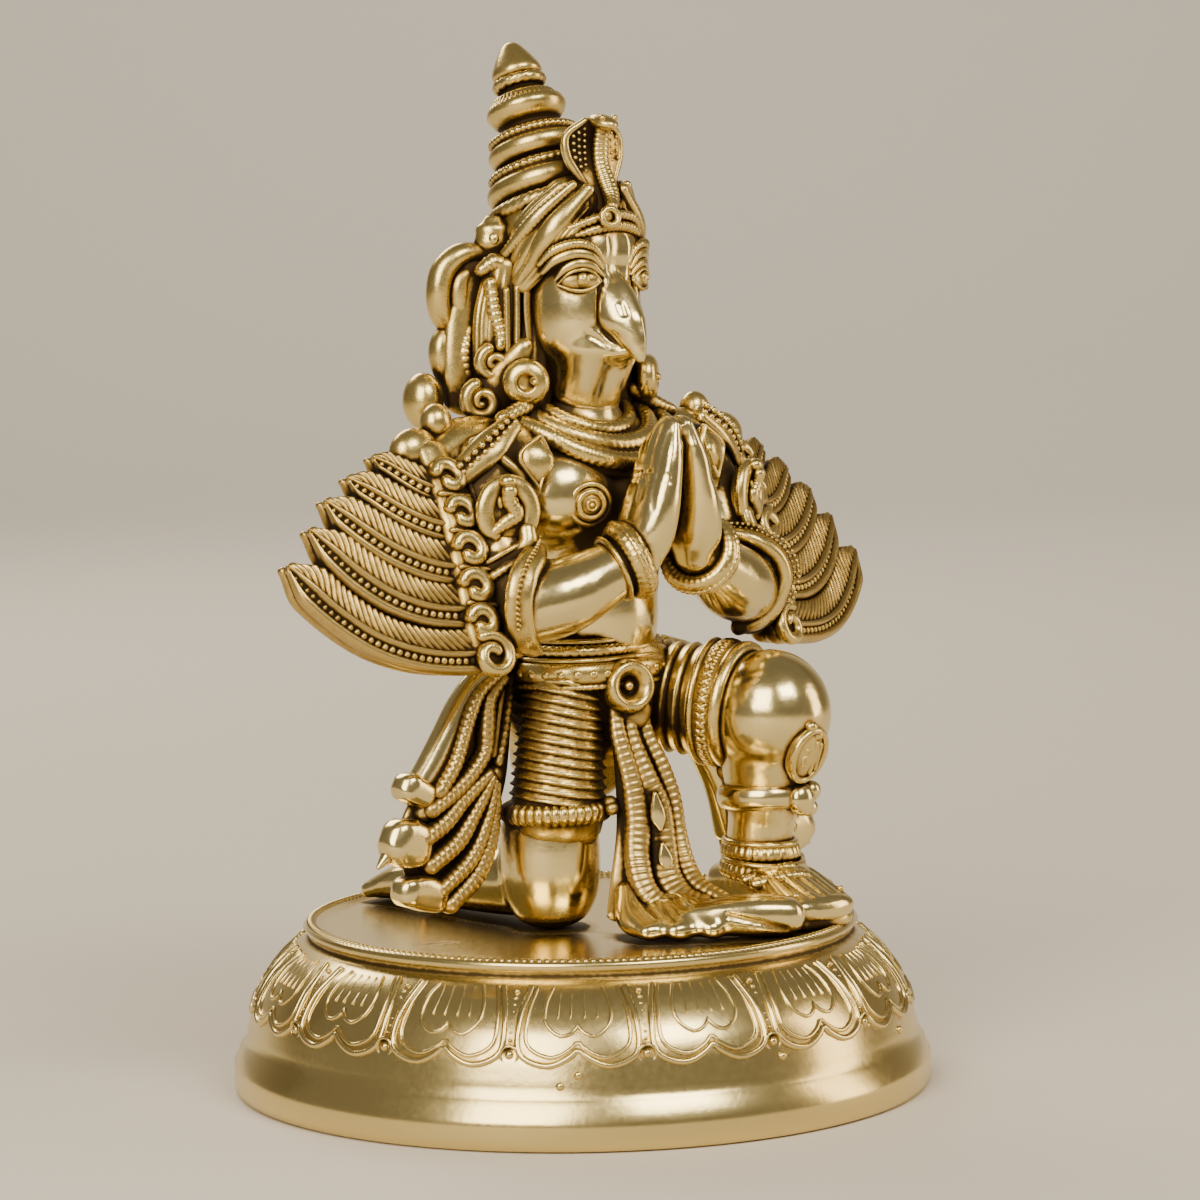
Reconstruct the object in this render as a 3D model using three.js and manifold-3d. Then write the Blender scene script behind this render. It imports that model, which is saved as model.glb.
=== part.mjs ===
// A small cast brass garuda, the eagle-headed bearer, kneeling with joined hands
// on a round lotus plinth. Millimetres, +Z up, origin at the centre of the
// plinth's underside. The figure faces -Y, so its own right side is at -X.
import * as THREE from "three";
import { mergeVertices } from "three/addons/utils/BufferGeometryUtils.js";
import Module from "manifold-3d";

const wasm = await Module();
wasm.setup();

// Driving dimensions of the plinth.
const BASE_RADIUS = 51;
const FLANGE_HEIGHT = 4.9;
const PLATE_RADIUS = 38.2;
const PLATE_TOP = 24;
const RIM_RADIUS = 40.6;
const RIM_TOP = 24.5;
const PETALS = 16;
const PETAL_PHASE = -42.75;
const PETAL_RELIEF = 1.1;

// Driving dimensions of the figure.
const REST_GAP = 0.3;
const SKIN_TOLERANCE = 0.02;
const GROUND = PLATE_TOP + REST_GAP;
const CROWN_FOOT = 129.2;
const CROWN_LEAN = 0.346;
const WAIST_HEIGHT = 68;
const CHEST_HEIGHT = 87;
const HEAD_HEIGHT = 113.3;
const RIGHT_LEG = -9;
const LEFT_LEG = 17;
const FAN_DEPTH = -1.6;
const LEFT_FAN_SPREAD = 1.08;
const WING_ROOT = 29;
const LEFT_WING_DROOP = 0.17;

const at = (x, y, z) => new THREE.Vector3(x, y, z);
const FRONT = at(0, -1, 0);
const SIDEWAYS = at(1, 0, 0);
const UPWARD = at(0, 0, 1);

// Turns a closed geometry into a solid, with its faces outward.
function solid(geometry) {
  const bare = geometry.clone();
  bare.deleteAttribute("normal");
  bare.deleteAttribute("uv");
  const merged = mergeVertices(bare, 1e-4);
  const place = merged.attributes.position.array;
  const index = merged.index.array;
  const triangles = [];
  const [a, b, c] = [at(0, 0, 0), at(0, 0, 0), at(0, 0, 0)];
  let volume = 0;
  for (let i = 0; i < index.length; i += 3) {
    const [p, q, r] = [index[i], index[i + 1], index[i + 2]];
    if (p === q || q === r || r === p) continue;
    triangles.push(p, q, r);
    a.fromArray(place, 3 * p);
    b.fromArray(place, 3 * q);
    c.fromArray(place, 3 * r);
    volume += a.dot(b.cross(c));
  }
  if (volume < 0) {
    triangles.reverse();
  }
  const mesh = new wasm.Mesh({
    numProp: 3,
    vertProperties: new Float32Array(place),
    triVerts: new Uint32Array(triangles),
  });
  return new wasm.Manifold(mesh);
}

// The value at t, from 0 to 1, of a list of evenly spaced values or of one value.
function along(values, t) {
  if (!Array.isArray(values)) return values;
  const place = t * (values.length - 1);
  const index = Math.min(Math.floor(place), values.length - 2);
  return THREE.MathUtils.lerp(values[index], values[index + 1], place - index);
}

// The rings that close an end: flat, pointed or round, as [reach, scale] pairs from the tip in.
const END_RINGS = {
  flat: [[0, 0]],
  pointed: [[0.7, 0]],
  round: [[0.95, 0], [0.72, 0.66]],
};

// A limb, lock, feather or ribbon: a turned blank bent along a smooth line.
// wide is its half-width across the line, and deep its half-thickness towards facing.
// With stops, both lists give the size at each stop, such as a band round a limb.
// With pleats, every other edge of the section is drawn in, as folded cloth is.
function strand(points, wide, deep, options = {}) {
  const { facing = FRONT, sides = 4, steps = points.length, ends = "flat", turn = 0, pleats = 1 } = options;
  const stops = options.stops ?? Array.from({ length: steps + 1 }, (_, i) => i / steps);
  const sizeAt = (values, t, i) => (options.stops && Array.isArray(values) ? values[i] : along(values, t));
  const line = new THREE.CatmullRomCurve3(points, false, "centripetal");
  const [startRings, endRings] = ends.includes("-") ? ends.split("-") : [ends, ends];
  const last = stops.length - 1;
  const stations = [
    ...END_RINGS[startRings].map(([reach, scale]) => ({ stop: 0, reach: -reach, scale })),
    ...stops.map((_, stop) => ({ stop, reach: 0, scale: 1 })),
    ...END_RINGS[endRings].map(([reach, scale]) => ({ stop: last, reach, scale })).reverse(),
  ];
  const profile = stations.map((station, i) => new THREE.Vector2(station.scale, i));
  const blank = new THREE.LatheGeometry(profile, sides, turn);
  const place = blank.attributes.position;
  const spot = at(0, 0, 0);
  for (let i = 0; i < place.count; i += 1) {
    spot.fromBufferAttribute(place, i);
    const station = Math.round(spot.y);
    const side = Math.floor(i / stations.length) % sides;
    const { stop, reach } = stations[station];
    const t = stops[stop];
    const tangent = line.getTangent(t);
    const across = tangent.clone().cross(facing).normalize();
    const outward = across.clone().cross(tangent).normalize();
    const halfWide = sizeAt(wide, t, stop);
    const halfDeep = sizeAt(deep, t, stop);
    const drawnIn = side % 2 ? pleats : 1;
    const point = line.getPoint(t);
    point.addScaledVector(tangent, reach * Math.min(halfDeep, halfWide));
    point.addScaledVector(across, spot.x * halfWide);
    point.addScaledVector(outward, spot.z * halfDeep * drawnIn);
    place.setXYZ(i, point.x, point.y, point.z);
  }
  return solid(blank);
}

// A thin blade with ridges, such as a wing of overlapping feathers. Each line gives a point
// for t from the root, 0, to the free end, 1, and stands off the middle plane by lift.
// The first and last lines are the blade's edges, and at the free end both faces meet.
function ribbedBlade(lines, facing, steps) {
  const sides = 2 * lines.length - 2;
  const profile = [new THREE.Vector2(0, 0)];
  for (let i = 0; i <= steps; i += 1) {
    profile.push(new THREE.Vector2(1, i + 1));
  }
  const blank = new THREE.LatheGeometry(profile, sides);
  const place = blank.attributes.position;
  const middle = lines[Math.floor(lines.length / 2)].point(0);
  for (let i = 0; i < place.count; i += 1) {
    const column = Math.floor(i / profile.length) % sides;
    const row = i % profile.length;
    const behind = column >= lines.length;
    const line = lines[behind ? sides - column : column];
    const t = Math.max(row - 1, 0) / steps;
    const point = row === 0 ? middle.clone() : line.point(t);
    if (row > 0) {
      point.addScaledVector(facing, (behind ? -1 : 1) * line.lift * Math.sqrt(1 - t));
    }
    place.setXYZ(i, point.x, point.y, point.z);
  }
  return solid(blank);
}

// A rounded boss with the given half-sizes, turned about Z.
function ball(centre, halfSizes, sides = 6, rings = 4, turn = 0) {
  const geometry = new THREE.SphereGeometry(1, sides, rings);
  geometry.rotateX(Math.PI / 2);
  geometry.scale(...halfSizes);
  geometry.rotateZ(turn);
  geometry.translate(centre.x, centre.y, centre.z);
  return solid(geometry);
}

// A shape turned on a lathe about an upright axis, or one that leans back by lean.
// relief, where given, moves each point of the profile out by its column and row.
function turned(profile, sides, { foot = at(0, 0, 0), lean = 0, relief = null, phase = 0 } = {}) {
  const geometry = new THREE.LatheGeometry(profile.map(([r, h]) => new THREE.Vector2(r, h)), sides, phase);
  if (relief) {
    const place = geometry.attributes.position;
    for (let i = 0; i < place.count; i += 1) {
      const column = Math.floor(i / profile.length) % sides;
      const radius = profile[i % profile.length][0];
      const scale = radius > 0 ? 1 + relief(column, i % profile.length) / radius : 1;
      place.setX(i, place.getX(i) * scale);
      place.setZ(i, place.getZ(i) * scale);
    }
  }
  geometry.rotateX(Math.PI / 2 - lean);
  geometry.translate(foot.x, foot.y, foot.z);
  return solid(geometry);
}

// A low disc that faces the given way, such as a roundel or an ear stud.
function disc(centre, facing, radius, thickness, sides = 8) {
  const geometry = new THREE.CylinderGeometry(radius * 0.8, radius, thickness, sides);
  const tilt = new THREE.Quaternion().setFromUnitVectors(at(0, 1, 0), facing.clone().normalize());
  geometry.applyQuaternion(tilt);
  geometry.translate(centre.x, centre.y, centre.z);
  return solid(geometry);
}

const fuse = (pieces) => pieces.flat(Infinity).reduce((whole, piece) => whole.add(piece));
const RIGHT = -1;
const LEFT = 1;
const bothSides = (build) => [build(RIGHT), build(LEFT)];

// The trunk, from the seat to the root of the neck, with the belt as two swells on it.
function trunk() {
  const spine = [
    at(0, 0.5, 53),
    at(0, -0.3, 60),
    at(0, -5.4, WAIST_HEIGHT),
    at(0, -4.4, 77),
    at(0, -3.6, CHEST_HEIGHT),
    at(0, -2.6, 93.5),
    at(0, -1.5, 98),
  ];
  const seat = [[0, 12.6, 9.2], [0.13, 12.9, 9.8], [0.14, 14.2, 11.6], [0.185, 14, 11.4], [0.2, 12, 9.6]];
  const cord = [[0.24, 12.4, 10.4], [0.27, 10.4, 8.8]];
  const body = [[0.34, 8.8, 7.9], [0.5, 11.4, 8.6], [0.66, 15, 9.3], [0.83, 15.2, 7.8], [1, 7.5, 5.2]];
  const sections = [...seat, ...cord, ...body];
  return fuse([
    strand(spine, sections.map((row) => row[1]), sections.map((row) => row[2]), {
      sides: 10,
      stops: sections.map((row) => row[0]),
    }),
    strand([at(0, -1.4, 95), at(0, -1.2, 107)], 4.6, 4.6, { sides: 6, steps: 1 }),
    bothSides((side) => disc(at(side * 7.4, -11.6, 84.7), at(side * 0.35, -1, -0.1), 2.2, 2, 6)),
  ]);
}

// A collar of three strands of beads round the neck, and two pendants below it.
function necklaces() {
  const collar = strand(
    [at(-8.6, 1, 97.4), at(-7.2, -5.6, 95.2), at(0, -10, 93.2), at(7.2, -5.6, 95.2), at(8.6, 1, 97.4)],
    [2.6, 4.2, 4.6, 4.2, 2.6],
    2,
    { facing: at(0, -0.6, 0.8), sides: 12, steps: 6, pleats: 0.5 },
  );
  const pendants = bothSides((side) => strand(
    [at(side * 11, -7.6, 94.4), at(side * 9.8, -10.6, 90), at(side * 8.6, -12, 86.8)],
    [1.2, 2.8, 0.5],
    [2, 2, 1],
    { steps: 2 },
  ));
  return fuse([collar, pendants]);
}

// The bird's head, with eyes, ear studs and a hooked beak over a smaller lower one.
function head() {
  const skull = ball(at(0, -2.2, HEAD_HEIGHT), [8.5, 9.1, 10.7], 9, 6);
  const upperBeak = strand(
    [at(0, -6, 116), at(0, -11.6, 113.4), at(0, -14.6, 109.6), at(0, -14.9, 105.8)],
    [2.6, 3.4, 2.4, 0.6],
    [3, 3.2, 2.2, 0.8],
    { sides: 6, steps: 4, ends: "flat-pointed" },
  );
  const lowerBeak = strand([at(0, -6, 106.4), at(0, -12.6, 107.2)], [3.6, 1.6], [3, 1.1], {
    facing: UPWARD,
    steps: 1,
    ends: "flat-pointed",
  });
  const eyes = bothSides((side) => ball(at(side * 4.6, -8.8, 116.2), [2, 1.2, 1.2], 6, 3, side * 0.45));
  const studs = bothSides((side) => disc(at(side * 11, -2.8, 103), at(side * 0.67, -0.74, 0), 3.4, 3));
  const sideLocks = bothSides((side) => strand(
    [at(side * 7.6, 0.6, 121), at(side * 9, 0.6, 113), at(side * 10.4, 0, 104)],
    [2, 1.9, 1.6],
    [3, 2.8, 2.4],
    { facing: SIDEWAYS, sides: 5, steps: 2 },
  ));
  return fuse([skull, upperBeak, lowerBeak, eyes, studs, sideLocks]);
}

// The tiered crown, leaning back over a turban, with a hooded cobra in front.
function crown() {
  const profile = [
    [0, -11],
    [8.6, -10],
    [9.9, -6],
    [9.3, -1.8],
    [9.9, -0.4],
    [9.6, 0.8],
    [8, 1.4],
    [8.9, 3.6],
    [8.5, 5],
    [5.9, 6.1],
    [7.1, 8],
    [6.8, 9.2],
    [4.2, 10.4],
    [5.6, 12.8],
    [5, 14.6],
    [3, 16],
    [3.9, 17],
    [3, 18],
    [3.4, 18.8],
    [1, 23],
    [0, 23.5],
  ];
  const tiers = turned(profile, 10, { foot: at(0, 4.5, CROWN_FOOT), lean: CROWN_LEAN });
  const band = strand(
    [at(-8.8, 1.6, 119.6), at(-7.6, -6, 121), at(0, -10.2, 122.6), at(7.6, -6, 121), at(8.8, 1.6, 119.6)],
    1.5,
    1.6,
    { sides: 3, steps: 6 },
  );
  const swags = bothSides((side) => strand(
    [at(side * 1.5, -8, 130), at(side * 6.4, -6.2, 126), at(side * 9.8, -0.4, 122)],
    1.8,
    1.5,
    { sides: 3, steps: 3 },
  ));
  const jewel = ball(at(0, -9.6, 124.4), [3.4, 1.8, 1.6], 6, 3);
  const flowers = bothSides((side) => ball(at(side * 9.2, 6.2, 123.4), [2, 2.7, 2.8], 6, 3));
  const cobra = strand(
    [at(0, -8.8, 126.2), at(0, -7.4, 130), at(0, -5.6, 134.8), at(0, -6.9, 138.2)],
    [1.6, 2.2, 5, 2.2],
    [1.6, 1.6, 1.6, 1.5],
    { sides: 5, ends: "flat-pointed" },
  );
  return fuse([tiers, band, swags, jewel, flowers, cobra]);
}

// Ribbon loops behind the ears, curls on the shoulders, and the hair down the back.
function hair() {
  const loops = bothSides((side) => [
    strand(
      [
        at(side * 8.2, 5.4, 120.2),
        at(side * 12.6, 8.2, 120.8),
        at(side * 16.6, 11, 117.2),
        at(side * 15.8, 10.8, 111.6),
        at(side * 16.6, 11.2, 108),
        at(side * 16, 10.6, 102.6),
      ],
      [1.8, 2, 2.1, 2, 2.1, 2],
      [2.2, 2.6, 2.6, 2.4, 2.6, 2.4],
      { steps: 5, turn: Math.PI / 4 },
    ),
    strand(
      [at(side * 7.4, 5.4, 118), at(side * 11.6, 7.6, 113), at(side * 12.4, 8, 107), at(side * 14, 7.4, 98)],
      [2.4, 3.4, 3.4, 3.6],
      [2.2, 2.8, 2.8, 3],
      { steps: 3, turn: Math.PI / 4 },
    ),
  ]);
  const curls = bothSides((side) => [
    ball(at(side * 12.4, 2.6, 104.4), [2.5, 3.2, 2.8], 6, 3),
    ball(at(side * 14, 2.8, 99.8), [3.3, 3.4, 3.4], 6, 3),
    ball(at(side * 19.2, 8, 98.6), [3.3, 4.4, 6]),
  ]);
  const back = strand(
    [at(0, 7.5, 118), at(0, 9.4, 109), at(0, 8.8, 100), at(0, 7.6, 91), at(0, 6, 84)],
    [7, 9.6, 11, 7.6, 2.6],
    [3.2, 3.6, 3.4, 2.8, 1.6],
    { sides: 6, steps: 4, ends: "flat-pointed" },
  );
  return fuse([loops, curls, back]);
}

// One arm: upper arm with a coiled armlet, forearm with a bracelet, and a flat hand.
function arm(side) {
  const elbow = at(side * 21.8, -12.6, 69.6);
  const wrist = at(side * 5.8, -19.5, 77.6);
  const upper = strand(
    [at(side * 13, -2.2, 92.6), at(side * 20.4, -3.6, 91.4), at(side * 22.4, -8, 81), elbow],
    [5.2, 5.3, 4.6, 4.7],
    [5.2, 5.3, 4.6, 4.7],
    { sides: 7, ends: "flat-pointed" },
  );
  const thickness = [4.8, 4.7, 3.6, 4.8, 4.8, 3.3];
  const forearm = strand([elbow, at(side * 14, -16.6, 72.8), wrist], thickness, thickness, {
    facing: UPWARD,
    sides: 7,
    stops: [0, 0.45, 0.82, 0.84, 0.93, 0.95],
  });
  const hand = strand(
    [
      at(side * 4.9, -19.6, 77.8),
      at(side * 3.7, -20, 84),
      at(side * 2.3, -20.3, 90),
      at(side * 1, -21.4, 96),
    ],
    [3.3, 4.6, 4, 2.2],
    [3, 3.4, 2.5, 1.2],
    { facing: SIDEWAYS, sides: 6, ends: "flat-pointed" },
  );
  const armlet = [
    ball(at(side * 21.9, -11.2, 86.2), [4.1, 2.8, 4.2], 8, 4, side * -0.3),
    strand(
      [at(side * 21.4, -12.4, 83.4), at(side * 20, -13.4, 80), at(side * 22, -15.4, 75.6)],
      [1.6, 1.6, 0.9],
      1.8,
      { steps: 2 },
    ),
  ];
  return fuse([upper, forearm, hand, armlet]);
}

// The wing's front surface: it sweeps back towards the tip and the top.
function onWing(side, x, z, lift = 0) {
  const rise = z - 78;
  const bend = rise > 0 ? 0.012 * rise * rise : 0;
  return at(side * x, -8.6 + 0.24 * (x - WING_ROOT) + 0.3 * rise + bend - lift, z);
}

// Each feather's midrib from root to tip, as seen from the front.
const FEATHERS = [
  [[27, 65.4], [37.4, 65], [44.6, 68], [50.6, 73], [55.4, 78]],
  [[27, 71.2], [36.8, 71], [42.4, 73.8], [47, 78], [50.6, 82]],
  [[27, 76.8], [36.2, 77.2], [41.4, 80.2], [46.4, 85.2]],
  [[26.6, 82], [34.6, 83.4], [39, 86.2], [42.2, 88.6]],
  [[26, 87], [33, 88.8], [37.6, 90.8]],
];
const FEATHER_HALF_WIDTH = 2.9;
const FEATHER_THICKNESS = 2.3;

// One wing: five overlapping feathers that grow from a column of curls.
function wing(side) {
  const facing = at(0, -1, 0.3).normalize();
  const droop = side === LEFT ? LEFT_WING_DROOP : 0;
  const ribs = FEATHERS.map((rib) => new THREE.CatmullRomCurve3(
    rib.map(([x, z]) => onWing(side, x, z - droop * (x - WING_ROOT))),
    false,
    "centripetal",
  ));
  const edge = (rib, away) => ({
    point: (t) => rib.getPoint(0.95 * t).addScaledVector(
      rib.getTangent(0.95 * t).cross(facing).normalize(),
      away * side * FEATHER_HALF_WIDTH * (1 - 0.45 * t),
    ),
    lift: 0,
  });
  const lines = [edge(ribs[0], -1)];
  ribs.forEach((rib, i) => {
    lines.push({ point: (t) => rib.getPoint(t), lift: FEATHER_THICKNESS });
    if (i + 1 < ribs.length) {
      const next = ribs[i + 1];
      lines.push({ point: (t) => rib.getPoint(0.9 * t).lerp(next.getPoint(0.9 * t), 0.55), lift: 0.7 });
    }
  });
  lines.push(edge(ribs[ribs.length - 1], 1));
  const feathers = ribbedBlade(lines, facing, 5);
  const curls = 5;
  const sizes = [1.6];
  for (let i = 0; i < curls; i += 1) {
    sizes.push(2.9, 1.7);
  }
  const column = strand(
    [
      onWing(side, 24.6, 93.4),
      onWing(side, 27.8, 86, 1),
      onWing(side, 28.8, 76, 1),
      onWing(side, WING_ROOT, 63.6, 1),
    ],
    sizes,
    sizes,
    { sides: 6, steps: 2 * curls },
  );
  const shoulder = strand(
    [at(side * 14, 1, 94), at(side * 23, 0, 93), at(side * 30, -1.4, 90)],
    [4, 4.6, 3],
    [3.4, 3, 2.2],
    { steps: 2 },
  );
  const bosses = [
    ball(at(side * 25, 1, 98), [3.8, 3.6, 5.6], 5, 4, side * 0.3),
    ball(at(side * 30, -0.6, 93.2), [4.2, 2.8, 3.6], 5, 3),
  ];
  return fuse([feathers, column, shoulder, bosses]);
}

// The round buckle, and a pleated sash that falls to the plate and trails forward.
function buckleAndSash() {
  const facing = at(-0.25, -1, 0.1);
  const buckle = [
    disc(at(0, -11.4, 59.2), facing, 3.9, 3.4),
    disc(at(-0.2, -13.2, 59.2), facing, 1.7, 1.8, 6),
  ];
  const fall = strand(
    [at(0.4, -11.8, 56), at(0.6, -15, 45), at(0.2, -15.4, 34), at(0.4, -18.6, 25.6)],
    [3.4, 4.6, 5, 5.4],
    [1.8, 2.2, 2.2, 2.4],
    { sides: 12, steps: 4, pleats: 0.55 },
  );
  const trail = strand(
    [
      at(2.6, -13, 55),
      at(3.6, -16.4, 45),
      at(4, -17.8, 36),
      at(5.2, -21, 29),
      at(7, -27, 26),
      at(9.4, -34.4, 25.6),
    ],
    [1.4, 1.8, 2, 2.6, 3.2, 2.6],
    1.7,
  );
  return fuse([buckle, fall, trail]);
}

// Stops and sizes for cloth wound round a limb in folds, ending in a beaded hem.
function woundCloth(from, to, folds, depth, end, hem) {
  const sections = [];
  const count = 2 * folds;
  for (let i = 0; i <= count; i += 1) {
    const swell = i % 2 ? depth : 0;
    sections.push([(end * i) / count, THREE.MathUtils.lerp(from, to, i / count) + swell]);
  }
  sections.push([end + 0.01, hem], [end + 0.07, hem], [end + 0.08, to]);
  return sections;
}

// The right leg kneels: an upright thigh in wound cloth, a bare knee, the shin lying behind.
function kneelingLeg() {
  const x = RIGHT_LEG;
  const sections = [...woundCloth(5.8, 5.6, 6, 0.8, 0.6, 7.7), [0.84, 6.4], [1, 6.2]];
  const sizes = sections.map((row) => row[1]);
  const thigh = strand(
    [at(x, -5.2, 58), at(x, -5.9, 50), at(x, -5.2, 40), at(x, -3.8, 30.7)],
    sizes,
    sizes,
    { sides: 8, stops: sections.map((row) => row[0]), ends: "flat-round" },
  );
  const shin = strand([at(x, -2, 30.4), at(x, 12, 29.4), at(x, 25, 28.2)], [5.6, 5, 3.7], [5.6, 5, 3.7], {
    facing: UPWARD,
    sides: 6,
    steps: 2,
  });
  const foot = strand([at(x, 23, 28), at(x, 29, 27.4), at(x, 33.4, 26.6)], [3.8, 4.2, 3.4], [3.8, 2.9, 2], {
    facing: UPWARD,
    sides: 6,
    steps: 2,
    ends: "flat-pointed",
  });
  return fuse([thigh, shin, foot]);
}

// The left leg is raised: a level thigh in folds, a bare knee, garter, anklets and foot.
function raisedLeg() {
  const x = LEFT_LEG;
  const sections = [...woundCloth(7.8, 7.6, 3, 1, 0.58, 8.9), [0.78, 8.4], [0.9, 7.8], [1, 5.4]];
  const sizes = sections.map((row) => row[1]);
  const thigh = strand(
    [at(6.4, 0, 57.6), at(12.6, -10.8, 55.8), at(x, -22.4, 54), at(x, -31, 53.6)],
    sizes,
    sizes,
    { facing: UPWARD, sides: 8, stops: sections.map((row) => row[0]), ends: "flat-pointed" },
  );
  const shinSections = [
    [0, 6.4],
    [0.3, 5.6],
    [0.31, 6.6],
    [0.39, 6.6],
    [0.4, 5.2],
    [0.67, 4.7],
    [0.69, 5.9],
    [0.77, 5.9],
    [0.79, 5],
    [1, 5.2],
  ];
  const shinSizes = shinSections.map((row) => row[1]);
  const shin = strand(
    [at(x, -24.2, 50), at(x, -21.8, 42.5), at(x, -20.4, 36), at(x, -19.6, 27)],
    shinSizes,
    shinSizes,
    { sides: 8, stops: shinSections.map((row) => row[0]) },
  );
  const medallion = disc(at(x, -31, 47.8), at(0, -1, -0.5), 3.9, 2.6);
  const anklet = strand([at(x, -16, 31), at(x, -26.4, 30.2)], [5.8, 5.2], 2, {
    facing: UPWARD,
    sides: 6,
    steps: 1,
  });
  const foot = strand(
    [at(x, -15.4, 29), at(x, -23, 28.8), at(x + 0.4, -30, 27.6), at(x + 0.6, -34.2, 26.8)],
    [3.6, 4.4, 4.9, 4.9],
    [4, 3.8, 2.6, 1.9],
    { facing: UPWARD, sides: 6, steps: 3, ends: "flat-pointed" },
  );
  const slab = strand([at(x, -12.6, 24.6), at(x + 0.4, -36.6, 24.6)], [7.6, 8.8], 1.7, {
    facing: UPWARD,
    steps: 1,
    turn: Math.PI / 4,
  });
  return fuse([thigh, shin, medallion, anklet, foot, slab]);
}

// The loincloth's side panel: two pleated fans, rolled hems, and the cloth over the hip.
function drapery(side) {
  const spread = side === LEFT ? LEFT_FAN_SPREAD : 1;
  const on = (x, z) => at(side * spread * x, FAN_DEPTH, z);
  const folded = { sides: 12, steps: 3, pleats: 0.5 };
  const upperFan = strand(
    [on(12, 56), on(19, 53.6), on(24.6, 49), on(28.4, 44.6)],
    [5.6, 6, 5.6, 5.2],
    [2.4, 2.6, 2.2, 2],
    folded,
  );
  const lowerFan = strand(
    [on(13, 46.6), on(19.6, 42), on(25, 37.4), on(30, 33.4)],
    [2.8, 4.6, 6, 6.6],
    [2.8, 2.4, 2.1, 1.8],
    folded,
  );
  const hems = [
    ball(on(32, 45.6), [3.6, 2.6, 2.8], 5, 3),
    ball(on(35.2, 38), [4.4, 2.8, 4], 5, 3),
    ball(on(31.2, 31.2), [4.8, 2.8, 3.1], 5, 3),
  ];
  const hip = strand(
    [at(side * 8, 1, 60), at(side * 9, 2.4, 52), at(side * 9, 1.6, 44)],
    [6, 6.8, 5.6],
    [7, 6, 4.4],
    { sides: 6, steps: 2 },
  );
  return fuse([upperFan, lowerFan, hems, hip]);
}

// The plinth: a flange, a domed body with a ring of two-lobed petals, a rim and a flat plate.
// Round the dome, four columns make a petal: the gap beside it, a lobe, its cusp and a lobe.
function plinthSolid() {
  const profile = [
    [0, 0],
    [BASE_RADIUS, 0],
    [BASE_RADIUS, FLANGE_HEIGHT],
    [49.9, FLANGE_HEIGHT + 0.9],
    [49, 8.8],
    [48.4, 11],
    [48.2, 11.9],
    [47.7, 13.6],
    [45.4, 17.8],
    [41.8, 21.1],
    [39.4, 22.2],
    [RIM_RADIUS, 23.2],
    [RIM_RADIUS - 1, RIM_TOP],
    [PLATE_RADIUS, PLATE_TOP],
    [0, PLATE_TOP],
  ];
  const columnsPerPetal = 4;
  const lobeFoot = 6;
  const cuspFoot = 7;
  const petalTop = 9;
  const relief = (column, row) => {
    const part = column % columnsPerPetal;
    if (part === 0 || row > petalTop) return 0;
    const isCusp = part === 2;
    if (row < (isCusp ? cuspFoot : lobeFoot)) return 0;
    return isCusp ? PETAL_RELIEF * 0.5 : PETAL_RELIEF;
  };
  const phase = THREE.MathUtils.degToRad(PETAL_PHASE - 180 / PETALS);
  return turned(profile, PETALS * columnsPerPetal, { relief, phase });
}

// Cuts the figure's underside to the plate and the rim, which it clears by the gap.
function restOnPlate(figure) {
  const edge = PLATE_RADIUS - REST_GAP;
  const profile = [
    [0, GROUND - 9],
    [BASE_RADIUS, GROUND - 9],
    [BASE_RADIUS, RIM_TOP + REST_GAP],
    [edge, RIM_TOP + REST_GAP],
    [edge, GROUND],
    [0, GROUND],
  ];
  return figure.subtract(turned(profile, PETALS * 4));
}

// The outer skin of a fused casting: hollows closed in between the pieces are metal.
function filled(casting) {
  const shells = casting.decompose();
  shells.sort((a, b) => b.volume() - a.volume());
  return shells[0].simplify(SKIN_TOLERANCE);
}

// Where two corners of the skin are at one place, the second is drawn in by a hair.
function drawApart(geometry) {
  const { position, normal } = geometry.attributes;
  const taken = new Set();
  const corner = at(0, 0, 0);
  const inward = at(0, 0, 0);
  for (let i = 0; i < position.count; i += 1) {
    corner.fromBufferAttribute(position, i);
    const place = corner.toArray().join();
    if (taken.has(place)) {
      corner.addScaledVector(inward.fromBufferAttribute(normal, i), -SKIN_TOLERANCE);
      position.setXYZ(i, corner.x, corner.y, corner.z);
    }
    taken.add(place);
  }
}

function brassMesh(name, casting, colour, roughness) {
  const mesh = casting.getMesh();
  const geometry = new THREE.BufferGeometry();
  geometry.setAttribute("position", new THREE.BufferAttribute(new Float32Array(mesh.vertProperties), 3));
  geometry.setIndex(new THREE.BufferAttribute(new Uint32Array(mesh.triVerts), 1));
  geometry.computeVertexNormals();
  drawApart(geometry);
  const material = new THREE.MeshStandardMaterial({ color: colour, roughness, metalness: 1 });
  const piece = new THREE.Mesh(geometry, material);
  piece.name = name;
  return piece;
}

const figure = fuse([
  trunk(),
  necklaces(),
  head(),
  crown(),
  hair(),
  bothSides(arm),
  bothSides(wing),
  buckleAndSash(),
  kneelingLeg(),
  raisedLeg(),
  bothSides(drapery),
]);

const garuda = new THREE.Group();
garuda.add(brassMesh("plinth", plinthSolid(), "#c9b27c", 0.3));
garuda.add(brassMesh("figure", filled(restOnPlate(figure)), "#b89a5c", 0.35));

export default garuda;
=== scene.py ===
"""A small cast brass garuda, the eagle-headed bearer, kneeling on a round lotus plinth.

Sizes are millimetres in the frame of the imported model: +Z up, the figure faces -Y, and its own
right hand side is at -X. Two castings make the object, and each section below is one part of them.
"""

import math

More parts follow.
